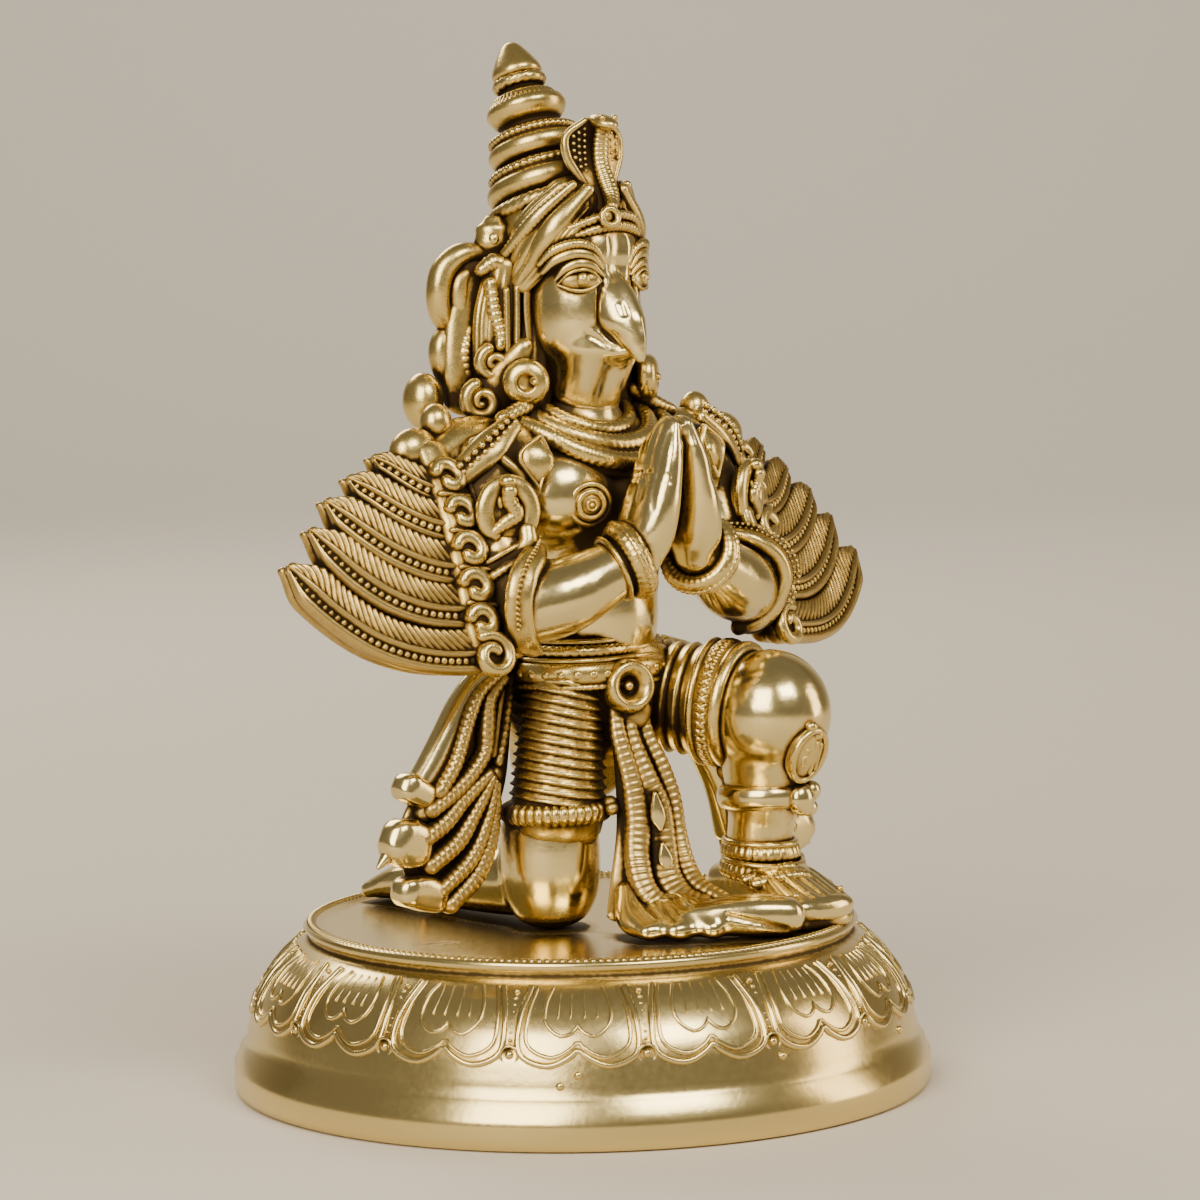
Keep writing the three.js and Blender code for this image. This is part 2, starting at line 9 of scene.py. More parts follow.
import bpy
import numpy as np
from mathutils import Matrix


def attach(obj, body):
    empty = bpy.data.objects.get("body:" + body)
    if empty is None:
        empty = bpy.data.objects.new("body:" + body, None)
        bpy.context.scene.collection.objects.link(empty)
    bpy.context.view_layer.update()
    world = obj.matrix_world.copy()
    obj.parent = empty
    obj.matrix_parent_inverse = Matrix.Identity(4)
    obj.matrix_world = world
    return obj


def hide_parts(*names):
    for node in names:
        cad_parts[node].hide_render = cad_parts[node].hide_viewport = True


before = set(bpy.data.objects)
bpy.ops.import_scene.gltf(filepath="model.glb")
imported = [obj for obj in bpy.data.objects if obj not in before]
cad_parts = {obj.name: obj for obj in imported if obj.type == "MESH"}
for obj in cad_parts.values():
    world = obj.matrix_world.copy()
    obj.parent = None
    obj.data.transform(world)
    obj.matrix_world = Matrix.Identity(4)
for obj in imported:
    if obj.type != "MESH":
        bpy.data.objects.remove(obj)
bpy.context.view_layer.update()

import openvdb
from mathutils import Matrix

# Plinth.
# A brass casting, turned on a lathe: flange, step, domed body, beaded rim and flat plate. Each of its
# sixteen lotus petals is three raised outlines, one in another, with studs and beads between petals.
MM = 0.001
FRONT = (0, -1, 0)
UP = (0, 0, 1)
RIGHT = -1
LEFT = 1


def linear(colour):
    """An sRGB hex colour as linear light."""
    channels = [int(colour[i:i + 2], 16) / 255 for i in (1, 3, 5)]
    return [c / 12.92 if c < 0.04045 else ((c + 0.055) / 1.055) ** 2.4 for c in channels] + [1]


def add(tree, kind, links=None, **settings):
    """A new node in a tree, with its inputs linked or set."""
    node = tree.nodes.new(kind)
    for name, value in settings.items():
        setattr(node, name, value)
    for socket, source in (links or {}).items():
        if isinstance(source, bpy.types.NodeSocket):
            tree.links.new(source, node.inputs[socket])
        else:
            node.inputs[socket].default_value = source
    return node


def cast_brass(name, bright, warm, patina, roughness, wear, grain_mm, grain_depth):
    """Brass darkened in its hollows by patina and by painted shade: `crevice` says how deep a point lies in
    one.
    """
    material = bpy.data.materials.new(name)
    material.use_nodes = True
    tree = material.node_tree
    tree.nodes.clear()
    place = add(tree, "ShaderNodeTexCoord").outputs["Object"]
    crevice = add(tree, "ShaderNodeAttribute", attribute_name="crevice").outputs["Fac"]

    def noise(size, detail):
        inputs = {"Vector": place, "Scale": 1 / (size * MM), "Detail": detail}
        return add(tree, "ShaderNodeTexNoise", inputs).outputs["Fac"]

    def calc(operation, *values):
        return add(tree, "ShaderNodeMath", dict(enumerate(values)), operation=operation).outputs[0]

    def ramp(low, high, curve):
        inputs = {"Value": dark, "From Min": wear + low, "From Max": wear + high}
        return add(tree, "ShaderNodeMapRange", inputs, interpolation_type=curve).outputs[0]

    def blend(factor, first, second):
        inputs = {"Factor": factor, 6: first, 7: second}
        return add(tree, "ShaderNodeMix", inputs, data_type="RGBA").outputs[2]
    stain, speck, grain = noise(6, 5), noise(0.8, 4), noise(grain_mm, 3)
    uneven = calc("MULTIPLY_ADD", speck, 0.5, -0.25)
    # dark rises with crevice depth and at random stains.
    dark = calc("ADD", crevice, calc("ADD", uneven, calc("MULTIPLY_ADD", stain, 0.34, -0.17)))
    tint = ramp(-0.3, 0.12, "LINEAR")
    # This ramp blends to the patina colour: real patina in the fine chased lines, painted shade in the wider
    # gaps between parts, where shade falls.
    patina_and_shade = ramp(0.02, 0.42, "SMOOTHSTEP")
    colour = blend(patina_and_shade, blend(tint, linear(bright), linear(warm)), linear(patina))
    rough = calc("MULTIPLY_ADD", patina_and_shade, 0.26, calc("MULTIPLY_ADD", tint, 0.14, roughness))
    rough = calc("MULTIPLY_ADD", uneven, 0.25, rough)
    metal = calc("MULTIPLY_ADD", patina_and_shade, -0.2, 1.0)
    bump = add(tree, "ShaderNodeBump", {"Height": grain, "Strength": 1.0, "Distance": grain_depth * MM})
    shader = add(tree, "ShaderNodeBsdfPrincipled", {"Base Color": colour, "Metallic": metal,
                                                    "Roughness": rough, "Normal": bump.outputs[0]})
    add(tree, "ShaderNodeOutputMaterial", {"Surface": shader.outputs[0]})
    return material


# Turned brass, buffed on the wheel: pale and smooth, darker only deep in the chased lines, as patina and
# painted shade.
plinth_brass = cast_brass("brass, cast, turned and buffed", bright="#dfc987", warm="#b89a55",
                          patina="#463616", roughness=0.22, wear=0.6, grain_mm=0.9, grain_depth=0.012)


def joined(parts):
    """One mesh of several, as corners, four-sided faces and triangles."""
    corners, quads, triangles, start = [], [], [], 0
    for place, four, three in parts:
        corners.append(place)
        quads.append(np.asarray(four, int).reshape(-1, 4) + start)
        triangles.append(np.asarray(three, int).reshape(-1, 3) + start)
        start += len(place)
    return np.vstack(corners), np.vstack(quads), np.vstack(triangles)


def outward(place, quads, triangles):
    """The same mesh with its faces pointing out, told by the sign of its volume."""
    split = np.vstack([quads[:, [0, 1, 2]], quads[:, [0, 2, 3]], triangles])
    a, b, c = (place[split[:, i]] for i in range(3))
    if np.einsum("ij,ij->i", a, np.cross(b, c)).sum() < 0:
        return place, quads[:, ::-1], triangles[:, ::-1]
    return place, quads, triangles


pieces = []


def belongs(made, node):
    """A finished detail rides with the object and stands for the node of its casting."""
    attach(made, "root")
    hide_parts(node)
    pieces.append(made)


def piece(name, parts, material, node="figure"):
    """A finished casting detail: the parts as one mesh, in metres."""
    place, quads, triangles = joined(parts)
    mesh = bpy.data.meshes.new(name)
    mesh.vertices.add(len(place))
    mesh.vertices.foreach_set("co", (place * MM).astype(np.float32).ravel())
    mesh.loops.add(4 * len(quads) + 3 * len(triangles))
    mesh.loops.foreach_set("vertex_index", np.concatenate([quads.ravel(), triangles.ravel()]))
    mesh.polygons.add(len(quads) + len(triangles))
    starts = np.concatenate([4 * np.arange(len(quads)), 4 * len(quads) + 3 * np.arange(len(triangles))])
    mesh.polygons.foreach_set("loop_start", starts.astype(np.int32))
    mesh.update(calc_edges=True)
    mesh.validate()
    mesh.shade_smooth()
    mesh.materials.append(material)
    made = bpy.data.objects.new(name, mesh)
    bpy.context.scene.collection.objects.link(made)
    belongs(made, node)


def rounded(profile):
    """A profile with its corners cut, twice over, so that they read as cast and worn."""
    line = np.asarray(profile, float)
    for _ in range(2):
        near = 0.8 * line[:-1] + 0.2 * line[1:]
        far = 0.2 * line[:-1] + 0.8 * line[1:]
        line = np.vstack([line[:1], np.stack([near, far], 1).reshape(-1, 2), line[-1:]])
    return line


def leaning(lean):
    """The turn that leans an upright form back by `lean`."""
    return np.array([[1, 0, 0], [0, math.cos(lean), math.sin(lean)], [0, -math.sin(lean), math.cos(lean)]])


def turned(profile, around, foot=(0, 0, 0), lean=0.0, step=0.5, relief=None):
    """A turned form on an axis that leans back by `lean`; relief(angle, height, radius) lifts its skin."""
    line = rounded(profile)
    run = np.concatenate([[0], np.cumsum(np.linalg.norm(np.diff(line, axis=0), axis=1))])
    count = int(run[-1] / step) + 2
    spots = np.linspace(0, run[-1], count)
    radius = np.interp(spots, run, line[:, 0])
    height = np.interp(spots, run, line[:, 1])
    along = np.gradient(np.stack([radius, height], 1), axis=0)
    along /= np.linalg.norm(along, axis=1)[:, None] + 1e-9
    angle = np.arange(around) * 2 * math.pi / around
    lift = np.zeros((count, around))
    if relief:
        lift = relief(angle[None, :], height[:, None], radius[:, None])
    wide = radius[:, None] + lift * along[:, 1:2]
    tall = height[:, None] - lift * along[:, 0:1]
    wide[[0, -1]] = 0
    x = wide * np.sin(angle)
    y = -wide * np.cos(angle)
    place = np.stack([x, y, np.broadcast_to(tall, x.shape)], 2)[1:-1].reshape(-1, 3)
    place = np.vstack([place, [[0, 0, height[0]], [0, 0, height[-1]]]])
    place = place @ leaning(lean).T + np.asarray(foot, float)
    return outward(place, *ring_faces(count - 2, around))


def ring_faces(rings, around):
    """Faces of a tube of rings, closed at each end by a fan to one of the two last corners."""
    row, column = np.meshgrid(np.arange(rings - 1), np.arange(around), indexing="ij")
    after = (column + 1) % around
    quads = np.stack([row * around + column, row * around + after,
                      (row + 1) * around + after, (row + 1) * around + column], 2).reshape(-1, 4)
    column = np.arange(around)
    after = (column + 1) % around
    first, last = rings * around, rings * around + 1
    top = (rings - 1) * around
    triangles = np.vstack([np.stack([after, column, np.full(around, first)], 1),
                           np.stack([top + column, top + after, np.full(around, last)], 1)])
    return quads, triangles


BASE_RADIUS = 51
PLATE_TOP = 24
DOME = [(48.9, 8.9), (48.4, 11), (48.1, 12.4), (47.5, 14), (46.6, 15.8), (45.2, 17.8), (43.4, 19.8),
        (41.4, 21.3)]
plinth_profile = [(0, 0), (46, 0), (BASE_RADIUS - 0.4, 0), (BASE_RADIUS, 0.6), (BASE_RADIUS, 4.3),
                  (BASE_RADIUS - 0.3, 4.9), (50.3, 5.3), (50.1, 6.4), (49.5, 6.9), (49.1, 7.6), *DOME,
                  (39.6, 22.1), (39.5, 22.6), (40.3, 23.1), (40.6, 23.7), (40.1, 24.3), (39.2, 24.5),
                  (38.4, 24.3), (37.9, 23.8), (37.1, 24), (30, PLATE_TOP), (15, PLATE_TOP), (0, PLATE_TOP)]
body = turned(plinth_profile, 192, step=1.0)


def on_dome(angle, height, lift=0.0):
    """A point of the dome's skin, `angle` degrees from the front towards the figure's left."""
    radius = np.interp(height, [z for _, z in DOME], [r for r, _ in DOME]) + lift
    turn = np.radians(angle)
    return np.stack([radius * np.sin(turn), -radius * np.cos(turn), np.asarray(height, float)], -1)


def spline(points, step):
    """Rows along a smooth line through the points, about `step` mm apart; further columns ride along."""
    rows = np.asarray(points, float)
    padded = np.vstack([2 * rows[0] - rows[1], rows, 2 * rows[-1] - rows[-2]])
    fine = []
    for a, b, c, d in zip(padded, padded[1:], padded[2:], padded[3:]):
        knots = np.cumsum([0] + [max(np.linalg.norm(q[:3] - p[:3]), 1e-4) ** 0.5
                                 for p, q in ((a, b), (b, c), (c, d))])
        t = np.linspace(knots[1], knots[2], 20, endpoint=False)[:, None]
        ab = ((knots[1] - t) * a + (t - knots[0]) * b) / (knots[1] - knots[0])
        bc = ((knots[2] - t) * b + (t - knots[1]) * c) / (knots[2] - knots[1])
        cd = ((knots[3] - t) * c + (t - knots[2]) * d) / (knots[3] - knots[2])
        abc = ((knots[2] - t) * ab + (t - knots[0]) * bc) / (knots[2] - knots[0])
        bcd = ((knots[3] - t) * bc + (t - knots[1]) * cd) / (knots[3] - knots[1])
        fine.append(((knots[2] - t) * abc + (t - knots[1]) * bcd) / (knots[2] - knots[1]))
    fine = np.vstack(fine + [rows[-1:]])
    run = np.concatenate([[0], np.cumsum(np.linalg.norm(np.diff(fine[:, :3], axis=0), axis=1))])
    spots = np.linspace(0, run[-1], max(3, int(run[-1] / step) + 1))
    return np.stack([np.interp(spots, run, fine[:, k]) for k in range(fine.shape[1])], 1), spots


def frames(line, facing):
    """The tangent, across and outward directions at each row of a line."""
    tangent = np.gradient(line, axis=0)
    tangent /= np.linalg.norm(tangent, axis=1)[:, None] + 1e-12
    across = np.cross(tangent, facing)
    across /= np.linalg.norm(across, axis=1)[:, None] + 1e-12
    return tangent, across, np.cross(across, tangent)


def strand(points, wide, deep, facing=FRONT, around=16, step=0.5, square=2.0, ends="round-round",
           relief=None, section=None):
    """A cast limb, lock, ribbon or bar, bent along a smooth line through the points.

    wide and deep are its half sizes across the line and towards facing; facing may change along it.
    relief(run, angle, length) lifts the skin, and section gives another outline in units of the two.
    """
    count = len(points)
    columns = [np.broadcast_to(np.asarray(v, float), (count,) if np.ndim(v) < 2 else (count, 3))
               for v in (wide, deep)]
    aim = np.broadcast_to(np.asarray(facing, float), (count, 3))
    rows, run = spline(np.column_stack([points, *columns, aim]), step)
    line, half_wide, half_deep = rows[:, :3], rows[:, 3], rows[:, 4]
    tangent, across, out = frames(line, rows[:, 5:8])
    angle = np.arange(around) * 2 * math.pi / around
    if section is None:
        side = np.sign(np.sin(angle)) * np.abs(np.sin(angle)) ** (2 / square)
        face = np.sign(np.cos(angle)) * np.abs(np.cos(angle)) ** (2 / square)
    else:
        side, face = np.asarray(section, float).T
        around = len(side)
        angle = np.arctan2(side, face)
    lift = np.zeros((len(line), around))
    if relief:
        lift = relief(run[:, None], angle[None, :], run[-1]) + lift
    u = half_wide[:, None] * side + lift * np.sin(angle)
    v = half_deep[:, None] * face + lift * np.cos(angle)
    body = line[:, None] + u[..., None] * across[:, None] + v[..., None] * out[:, None]
    caps, poles = [], []
    for kind, index, way in zip(ends.split("-"), (0, -1), (-1, 1)):
        reach = way * min(half_wide[index], half_deep[index]) * tangent[index]
        shrink_and_rise = [(math.cos(turn), math.sin(turn)) for turn in (0.4, 0.8, 1.2)]
        if kind == "flat":
            reach = 0.1 * reach
            shrink_and_rise = [(0.97, 1)]
        caps.append(np.stack([line[index] + (body[index] - line[index]) * shrink + reach * rise
                              for shrink, rise in shrink_and_rise]))
        poles.append(line[index] + reach)
    skin = np.vstack([caps[0][::-1], body, caps[1]])
    return outward(np.vstack([skin.reshape(-1, 3), *poles]), *ring_faces(len(skin), around))


def bead(centre, radii, facing=FRONT, around=20, relief=None, across=(1, 0, 0)):
    """A rounded boss: half sizes across, towards facing, and along the third way."""
    centre = np.asarray(centre, float)
    axis = np.cross(np.asarray(facing, float), np.asarray(across, float))
    axis /= np.linalg.norm(axis)
    out = np.asarray(facing, float) / np.linalg.norm(facing)
    side = np.cross(axis, out)
    rings = max(4, around // 2)
    polar = np.linspace(0, math.pi, rings + 2)[1:-1, None]
    angle = (np.arange(around) * 2 * math.pi / around)[None, :]
    swell = 1 + (relief(polar, angle) if relief else 0)
    u = radii[0] * np.sin(polar) * np.sin(angle) * swell
    v = radii[1] * np.sin(polar) * np.cos(angle) * swell
    w = -radii[2] * np.cos(polar) * np.ones_like(angle) * swell
    place = centre + u[..., None] * side + v[..., None] * out + w[..., None] * axis
    poles = [centre - radii[2] * axis, centre + radii[2] * axis]
    return outward(np.vstack([place.reshape(-1, 3), *poles]), *ring_faces(rings, around))


def shape_object(name, part):
    """A loose mesh in millimetres, for the ornament that is repeated."""
    place, quads, triangles = part
    mesh = bpy.data.meshes.new(name)
    mesh.from_pydata(place.tolist(), [], quads.tolist() + triangles.tolist())
    return bpy.data.objects.new(name, mesh)


def row_tree():
    """Geometry Nodes for chased rows: one shape after another along each path, turned with it."""
    tree = bpy.data.node_groups.new("chased row", "GeometryNodeTree")
    sockets = [("Paths", "NodeSocketGeometry"), ("Shape", "NodeSocketObject"),
               ("Spacing", "NodeSocketFloat"), ("Length", "NodeSocketFloat"), ("Width", "NodeSocketFloat"),
               ("Height", "NodeSocketFloat"), ("Slant", "NodeSocketFloat"),
               ("Material", "NodeSocketMaterial")]
    for name, kind in sockets:
        tree.interface.new_socket(name, in_out="INPUT", socket_type=kind)
    tree.interface.new_socket("Geometry", in_out="OUTPUT", socket_type="NodeSocketGeometry")
    given = add(tree, "NodeGroupInput").outputs
    curve = add(tree, "GeometryNodeMeshToCurve", {"Mesh": given["Paths"]})
    even = add(tree, "GeometryNodeResampleCurve", {"Curve": curve.outputs[0], "Length": given["Spacing"]},
               mode="LENGTH")
    tangent = add(tree, "GeometryNodeInputTangent")
    facing = add(tree, "GeometryNodeInputNamedAttribute", {"Name": "facing"}, data_type="FLOAT_VECTOR")
    size = add(tree, "GeometryNodeInputNamedAttribute", {"Name": "size"}, data_type="FLOAT")
    turn = add(tree, "FunctionNodeAxesToRotation", {0: facing.outputs[0], 1: tangent.outputs[0]},
               primary_axis="Z", secondary_axis="X")
    sizes = add(tree, "ShaderNodeCombineXYZ", {0: given["Length"], 1: given["Width"], 2: given["Height"]})
    scale = add(tree, "ShaderNodeVectorMath", {0: sizes.outputs[0], "Scale": size.outputs[0]},
                operation="SCALE")
    shape = add(tree, "GeometryNodeObjectInfo", {"Object": given["Shape"]})
    slant = add(tree, "ShaderNodeCombineXYZ", {2: given["Slant"]})
    spin = add(tree, "FunctionNodeEulerToRotation", {0: slant.outputs[0]})
    aim = add(tree, "FunctionNodeRotateRotation", {0: turn.outputs[0], 1: spin.outputs[0]},
              rotation_space="LOCAL")
    placed = add(tree, "GeometryNodeInstanceOnPoints", {
        "Points": even.outputs[0], "Instance": shape.outputs["Geometry"],
        "Rotation": aim.outputs[0], "Scale": scale.outputs[0]})
    real = add(tree, "GeometryNodeRealizeInstances", {0: placed.outputs[0]})
    finish = add(tree, "GeometryNodeSetMaterial",
                 {"Geometry": real.outputs[0], "Material": given["Material"]})
    add(tree, "NodeGroupOutput", {0: finish.outputs[0]})
    return tree


ROW_TREE = row_tree()
BEAD = shape_object("bead", bead((0, 0, 0), (1, 1, 1), around=6))


def row(name, paths, spacing, length, width, height, slant=0.0, material=None, node="figure"):
    """Rows of beads. Each path is (points, facing) or (points, facing, sizes)."""
    points, aims, sizes, edges, start = [], [], [], [], 0
    for path in paths:
        line, facing = path[:2]
        count = len(line)
        aim = np.broadcast_to(np.asarray(facing, float), (count, 3))
        size = np.broadcast_to(np.asarray(path[2] if len(path) > 2 else 1.0, float), (count,))
        rows = spline(np.column_stack([line, aim, size]), spacing / 3)[0]
        points.append(rows[:, :3])
        aims.append(rows[:, 3:6])
        sizes.append(rows[:, 6])
        edges += [(i, i + 1) for i in range(start, start + len(rows) - 1)]
        start += len(rows)
    mesh = bpy.data.meshes.new(name)
    mesh.from_pydata(np.vstack(points).tolist(), edges, [])
    mesh.attributes.new("facing", "FLOAT_VECTOR", "POINT").data.foreach_set(
        "vector", np.vstack(aims).astype(np.float32).ravel())
    mesh.attributes.new("size", "FLOAT", "POINT").data.foreach_set(
        "value", np.concatenate(sizes).astype(np.float32))
    made = bpy.data.objects.new(name, mesh)
    bpy.context.scene.collection.objects.link(made)
    nodes = made.modifiers.new("row", "NODES")
    nodes.node_group = ROW_TREE
    values = {"Shape": BEAD, "Spacing": spacing, "Length": length, "Width": width, "Height": height,
              "Slant": slant, "Material": material or figure_brass}
    for item in ROW_TREE.interface.items_tree:
        if item.in_out == "INPUT" and item.name in values:
            nodes[item.identifier] = values[item.name]
    bpy.context.view_layer.update()
    plain = bpy.data.meshes.new_from_object(made.evaluated_get(bpy.context.evaluated_depsgraph_get()))
    made.modifiers.clear()
    made.data = plain
    plain.transform(Matrix.Scale(MM, 4))
    plain.shade_smooth()
    belongs(made, node)


PETALS = 16
PETAL_STEP = 360 / PETALS
PETAL_PHASE = -42.75
PETAL_FOOT = 11.5
PETAL_CUSP = 13.2
PETAL_TOP = 21.1


def petal_line(centre, half, lobe_foot, cusp_foot, top, narrowing):
    """One petal's outline on the dome: up one side, with two round lobes at its foot."""
    lobe = half / 2
    outline = [(-half * narrowing, top), (-half, (top + lobe_foot) / 2 + 1), (-half * 0.96, lobe_foot + 1.5),
               (-lobe, lobe_foot), (-lobe * 0.22, cusp_foot - 0.35), (0, cusp_foot + 0.5),
               (lobe * 0.22, cusp_foot - 0.35), (lobe, lobe_foot), (half * 0.96, lobe_foot + 1.5),
               (half, (top + lobe_foot) / 2 + 1), (half * narrowing, top)]
    angles = np.array([a for a, _ in outline]) + centre
    return on_dome(angles, np.array([z for _, z in outline]))


def dome_facing(points):
    """The way the dome's skin faces at each point."""
    radial = points * [1, 1, 0]
    return radial / np.linalg.norm(radial, axis=1)[:, None] + [0, 0, 0.35]


petals, drawn = [], []
for i in range(PETALS):
    centre = PETAL_PHASE + i * PETAL_STEP
    for half, foot, cusp, narrowing, thick in ((9.9, PETAL_FOOT, PETAL_CUSP, 0.87, 0.5),
                                               (8.6, PETAL_FOOT + 1.1, PETAL_CUSP + 1, 0.87, 0.34),
                                               (5.6, 15.3, 16.3, 0.8, 0.3)):
        line = petal_line(centre, half, foot, cusp, PETAL_TOP, narrowing)
        petals.append(strand(line, thick, thick * 0.9, dome_facing(line), around=6, step=0.8))
    for offset in (-3.4, -1.2, 1.2, 3.4):
        line = on_dome(np.array([centre + offset, centre + offset * 0.9]), np.array([17.6, 20.9]))
        drawn.append(strand(line, 0.16, 0.24, dome_facing(line), around=6, step=1))
piece("plinth_body", [body], plinth_brass, "plinth")
piece("plinth_petals", petals + drawn, plinth_brass, "plinth")

gaps = [PETAL_PHASE + (i + 0.5) * PETAL_STEP for i in range(PETALS)]
columns = []
for gap in gaps:
    line = on_dome(np.array([gap, gap]), np.array([14.8, 20.6]), 0.1)
    columns.append((line, dome_facing(line), [0.6, 1]))
row("plinth_gap_beads", columns, 0.95, 0.42, 0.5, 0.42, material=plinth_brass, node="plinth")
RIM_CIRCLE = 39.3
RIM_HEIGHT = 24.25
turn = np.linspace(0, 2 * math.pi, 97)
rim = np.stack([RIM_CIRCLE * np.sin(turn), -RIM_CIRCLE * np.cos(turn), np.full(len(turn), RIM_HEIGHT)], 1)
row("plinth_rim_beads", [(rim, UP)], 1.05, 0.5, 0.85, 0.45, 0.5, material=plinth_brass, node="plinth")
STUD_HEIGHT = 12.9
STRAY_DOTS = [(-42.8, 10.3), (-45.7, 8.9), (-7.6, 10.8), (26, 9.9)]
studs = []
for angle, height in [(gap, STUD_HEIGHT) for gap in gaps] + STRAY_DOTS:
    place = on_dome(np.array([angle]), np.array([height]))[0]
    facing = dome_facing(place[None])[0] - [0, 0, 0.3]
    studs.append(bead(place, (0.62, 0.5, 0.62), facing, 12, across=np.cross(facing, UP)))
    if height == STUD_HEIGHT:
        across = np.cross(facing, UP)
        across /= np.linalg.norm(across)
        turn = np.linspace(0, 2 * math.pi, 17)
        ring = place + 1.25 * (np.outer(np.sin(turn), across) + np.outer(np.cos(turn), UP))
        studs.append(strand(ring, 0.24, 0.28, facing, around=6, step=0.4))
piece("plinth_studs", studs, plinth_brass, "plinth")

# Kneeling right leg.
# Cast in one with the figure: a thigh wound in striped cloth with a notched hem, a bare buffed knee
# on the plate, and the shin and foot that lie back behind it.

RIGHT_KNEE = -9.3

# Brass cast from a wax pattern and chased by hand: warm, a little grainy, near black in its hollows with
# patina and painted shade.
figure_brass = cast_brass("brass, lost-wax cast, chased and antiqued", bright="#dcc37a", warm="#a68640",
                          patina="#38270f", roughness=0.27, wear=0.4, grain_mm=0.35, grain_depth=0.02)

# The same brass where the wheel reached it: bright and smooth, with little dark left.
buffed_brass = cast_brass("brass, cast, buffed bright", bright="#e4d091", warm="#bc9b55", patina="#3e2e15",
                          roughness=0.19, wear=0.5, grain_mm=1.5, grain_depth=0.03)


def cast_whole(parts, voxel=0.35, fillet=0.7):
    """Overlapping forms cast as one, with the joins between them filled to a small radius."""
    place, quads, triangles = joined(parts)
    grid = openvdb.createLinearTransform(voxel)
    reach = fillet / voxel + 3
    for iso in (fillet, -fillet):
        level = openvdb.FloatGrid.createLevelSetFromPolygons(
            place.astype(np.float32), triangles=triangles.astype(np.uint32), quads=quads.astype(np.uint32),
            transform=grid, halfWidth=reach)
        place, triangles, quads = level.convertToPolygons(isovalue=iso)
        place, quads, triangles = outward(place.astype(float), quads.astype(int), triangles.astype(int))
    return place, quads, triangles


def normals_of(place, quads, triangles):
    """The way the skin faces at each corner of a mesh."""
    total = np.zeros_like(place)
    for faces in (quads, triangles):
        if len(faces):
            normal = np.cross(place[faces[:, 2]] - place[faces[:, 0]],
                              place[faces[:, -1]] - place[faces[:, 1]])
            for k in range(faces.shape[1]):
                np.add.at(total, faces[:, k], normal)
    return total / (np.linalg.norm(total, axis=1)[:, None] + 1e-12)


def chased(part, lines, width, depth):
    """Lines cut into a part's skin with a round-nosed tool, each laid on the skin first."""
    place, quads, triangles = part
    normal = normals_of(*part)
    cut = np.zeros(len(place))
    for line in lines:
        rows = spline(line, width / 3)[0]
        near = ((place > rows.min(0) - 2) & (place < rows.max(0) + 2)).all(1).nonzero()[0]
        gaps = np.linalg.norm(place[near, None] - rows[None], axis=2)
        drop = np.pad(place[near[gaps.argmin(0)]] - rows, ((4, 4), (0, 0)), mode="edge")
        rows = rows + np.stack([np.convolve(drop[:, k], np.ones(9) / 9, "valid") for k in range(3)], 1)
        gap = np.linalg.norm(place[near, None] - rows[None], axis=2).min(1)
        cut[near] = np.maximum(cut[near], np.clip(1 - (gap / width) ** 2, 0, 1))
    return place - normal * (depth * cut)[:, None], quads, triangles


def notched(pitch, depth, slant=0.0, sharp=0.5):
    """Relief of cross cuts along a strand, as a chisel leaves them."""
    def relief(run, angle, length):
        wave = np.abs(np.sin(math.pi * (run + slant * np.sin(angle)) / pitch)) ** sharp
        return depth * (wave - 1) * np.clip(np.minimum(run, length - run) / pitch, 0, 1)
    return relief


def wound(pitch, height, tilt):
    """Relief of cloth wound round a limb: a raised thread on the edge of each turn."""
    def relief(run, angle, length):
        turn = ((run + tilt * np.sin(angle)) / pitch) % 1
        return height * (np.exp(-((turn - 0.5) / 0.16) ** 2) - 0.45 * np.exp(-((turn - 0.82) / 0.12) ** 2))
    return relief


def toothed(count, depth):
    """Relief of notches round a turned band."""
    def relief(angle, height, radius):
        cut = 1 - np.abs(np.sin(count / 2 * angle)) ** 0.4
        return -depth * cut * (radius > 1) * np.ones_like(height)
    return relief


hem = [(0, -1.9), (5.8, -1.9), (7.3, -1.7), (8.1, -0.9), (8.3, 0), (8.1, 0.9), (7.2, 1.5), (5.9, 1.7),
       (0, 1.7)]
kneeling = [
    strand([(RIGHT_KNEE + 0.2, -7.2, 60.4), (RIGHT_KNEE, -6.6, 52), (RIGHT_KNEE, -5.8, 41)], [5.3, 6.0, 6.9],
           [5.4, 6.0, 6.8], around=56, step=0.22, ends="flat-round", relief=wound(1.42, 0.5, 1.1)),
    turned(hem, 190, (RIGHT_KNEE, -5.4, 41.2), 0.03, 0.42, toothed(38, 0.4)),
    turned([(0, 39), (5.9, 39.6), (6.4, 39.3), (6.3, 38.9), (0, 38.6)], 64, (RIGHT_KNEE, -5.2, 0.5)),
]
piece("kneeling_thigh_cloth", kneeling, figure_brass)
knee = turned([(0, 24.15), (2.8, 24.2), (5.3, 25.6), (6.8, 28.6), (7.3, 32), (7.3, 36), (7.0, 40), (0, 41)],
              96, (RIGHT_KNEE, -4.6, 0), 0.02, 0.35)
shin = strand([(RIGHT_KNEE, -2, 30.4), (RIGHT_KNEE, 10, 29.6), (RIGHT_KNEE, 25, 28.0)], [5.6, 5.1, 3.6],
              [5.2, 5, 3.5], UP, 32, 0.5)
sole = strand([(RIGHT_KNEE, 21, 28), (RIGHT_KNEE, 28, 27.4), (RIGHT_KNEE, 33, 26.2)], [3.5, 4.3, 3.9],
              [3.4, 2.8, 1.9], UP, 32, 0.4, 2.4)
toes = [strand([(RIGHT_KNEE + x, 31, 26.6), (RIGHT_KNEE + x * 1.1, 34.2 - abs(x) * 0.2, 25.8)], 0.95, 1.25,
               UP, 14, 0.3) for x in (-3.3, -1.6, 0, 1.6, 3.2)]
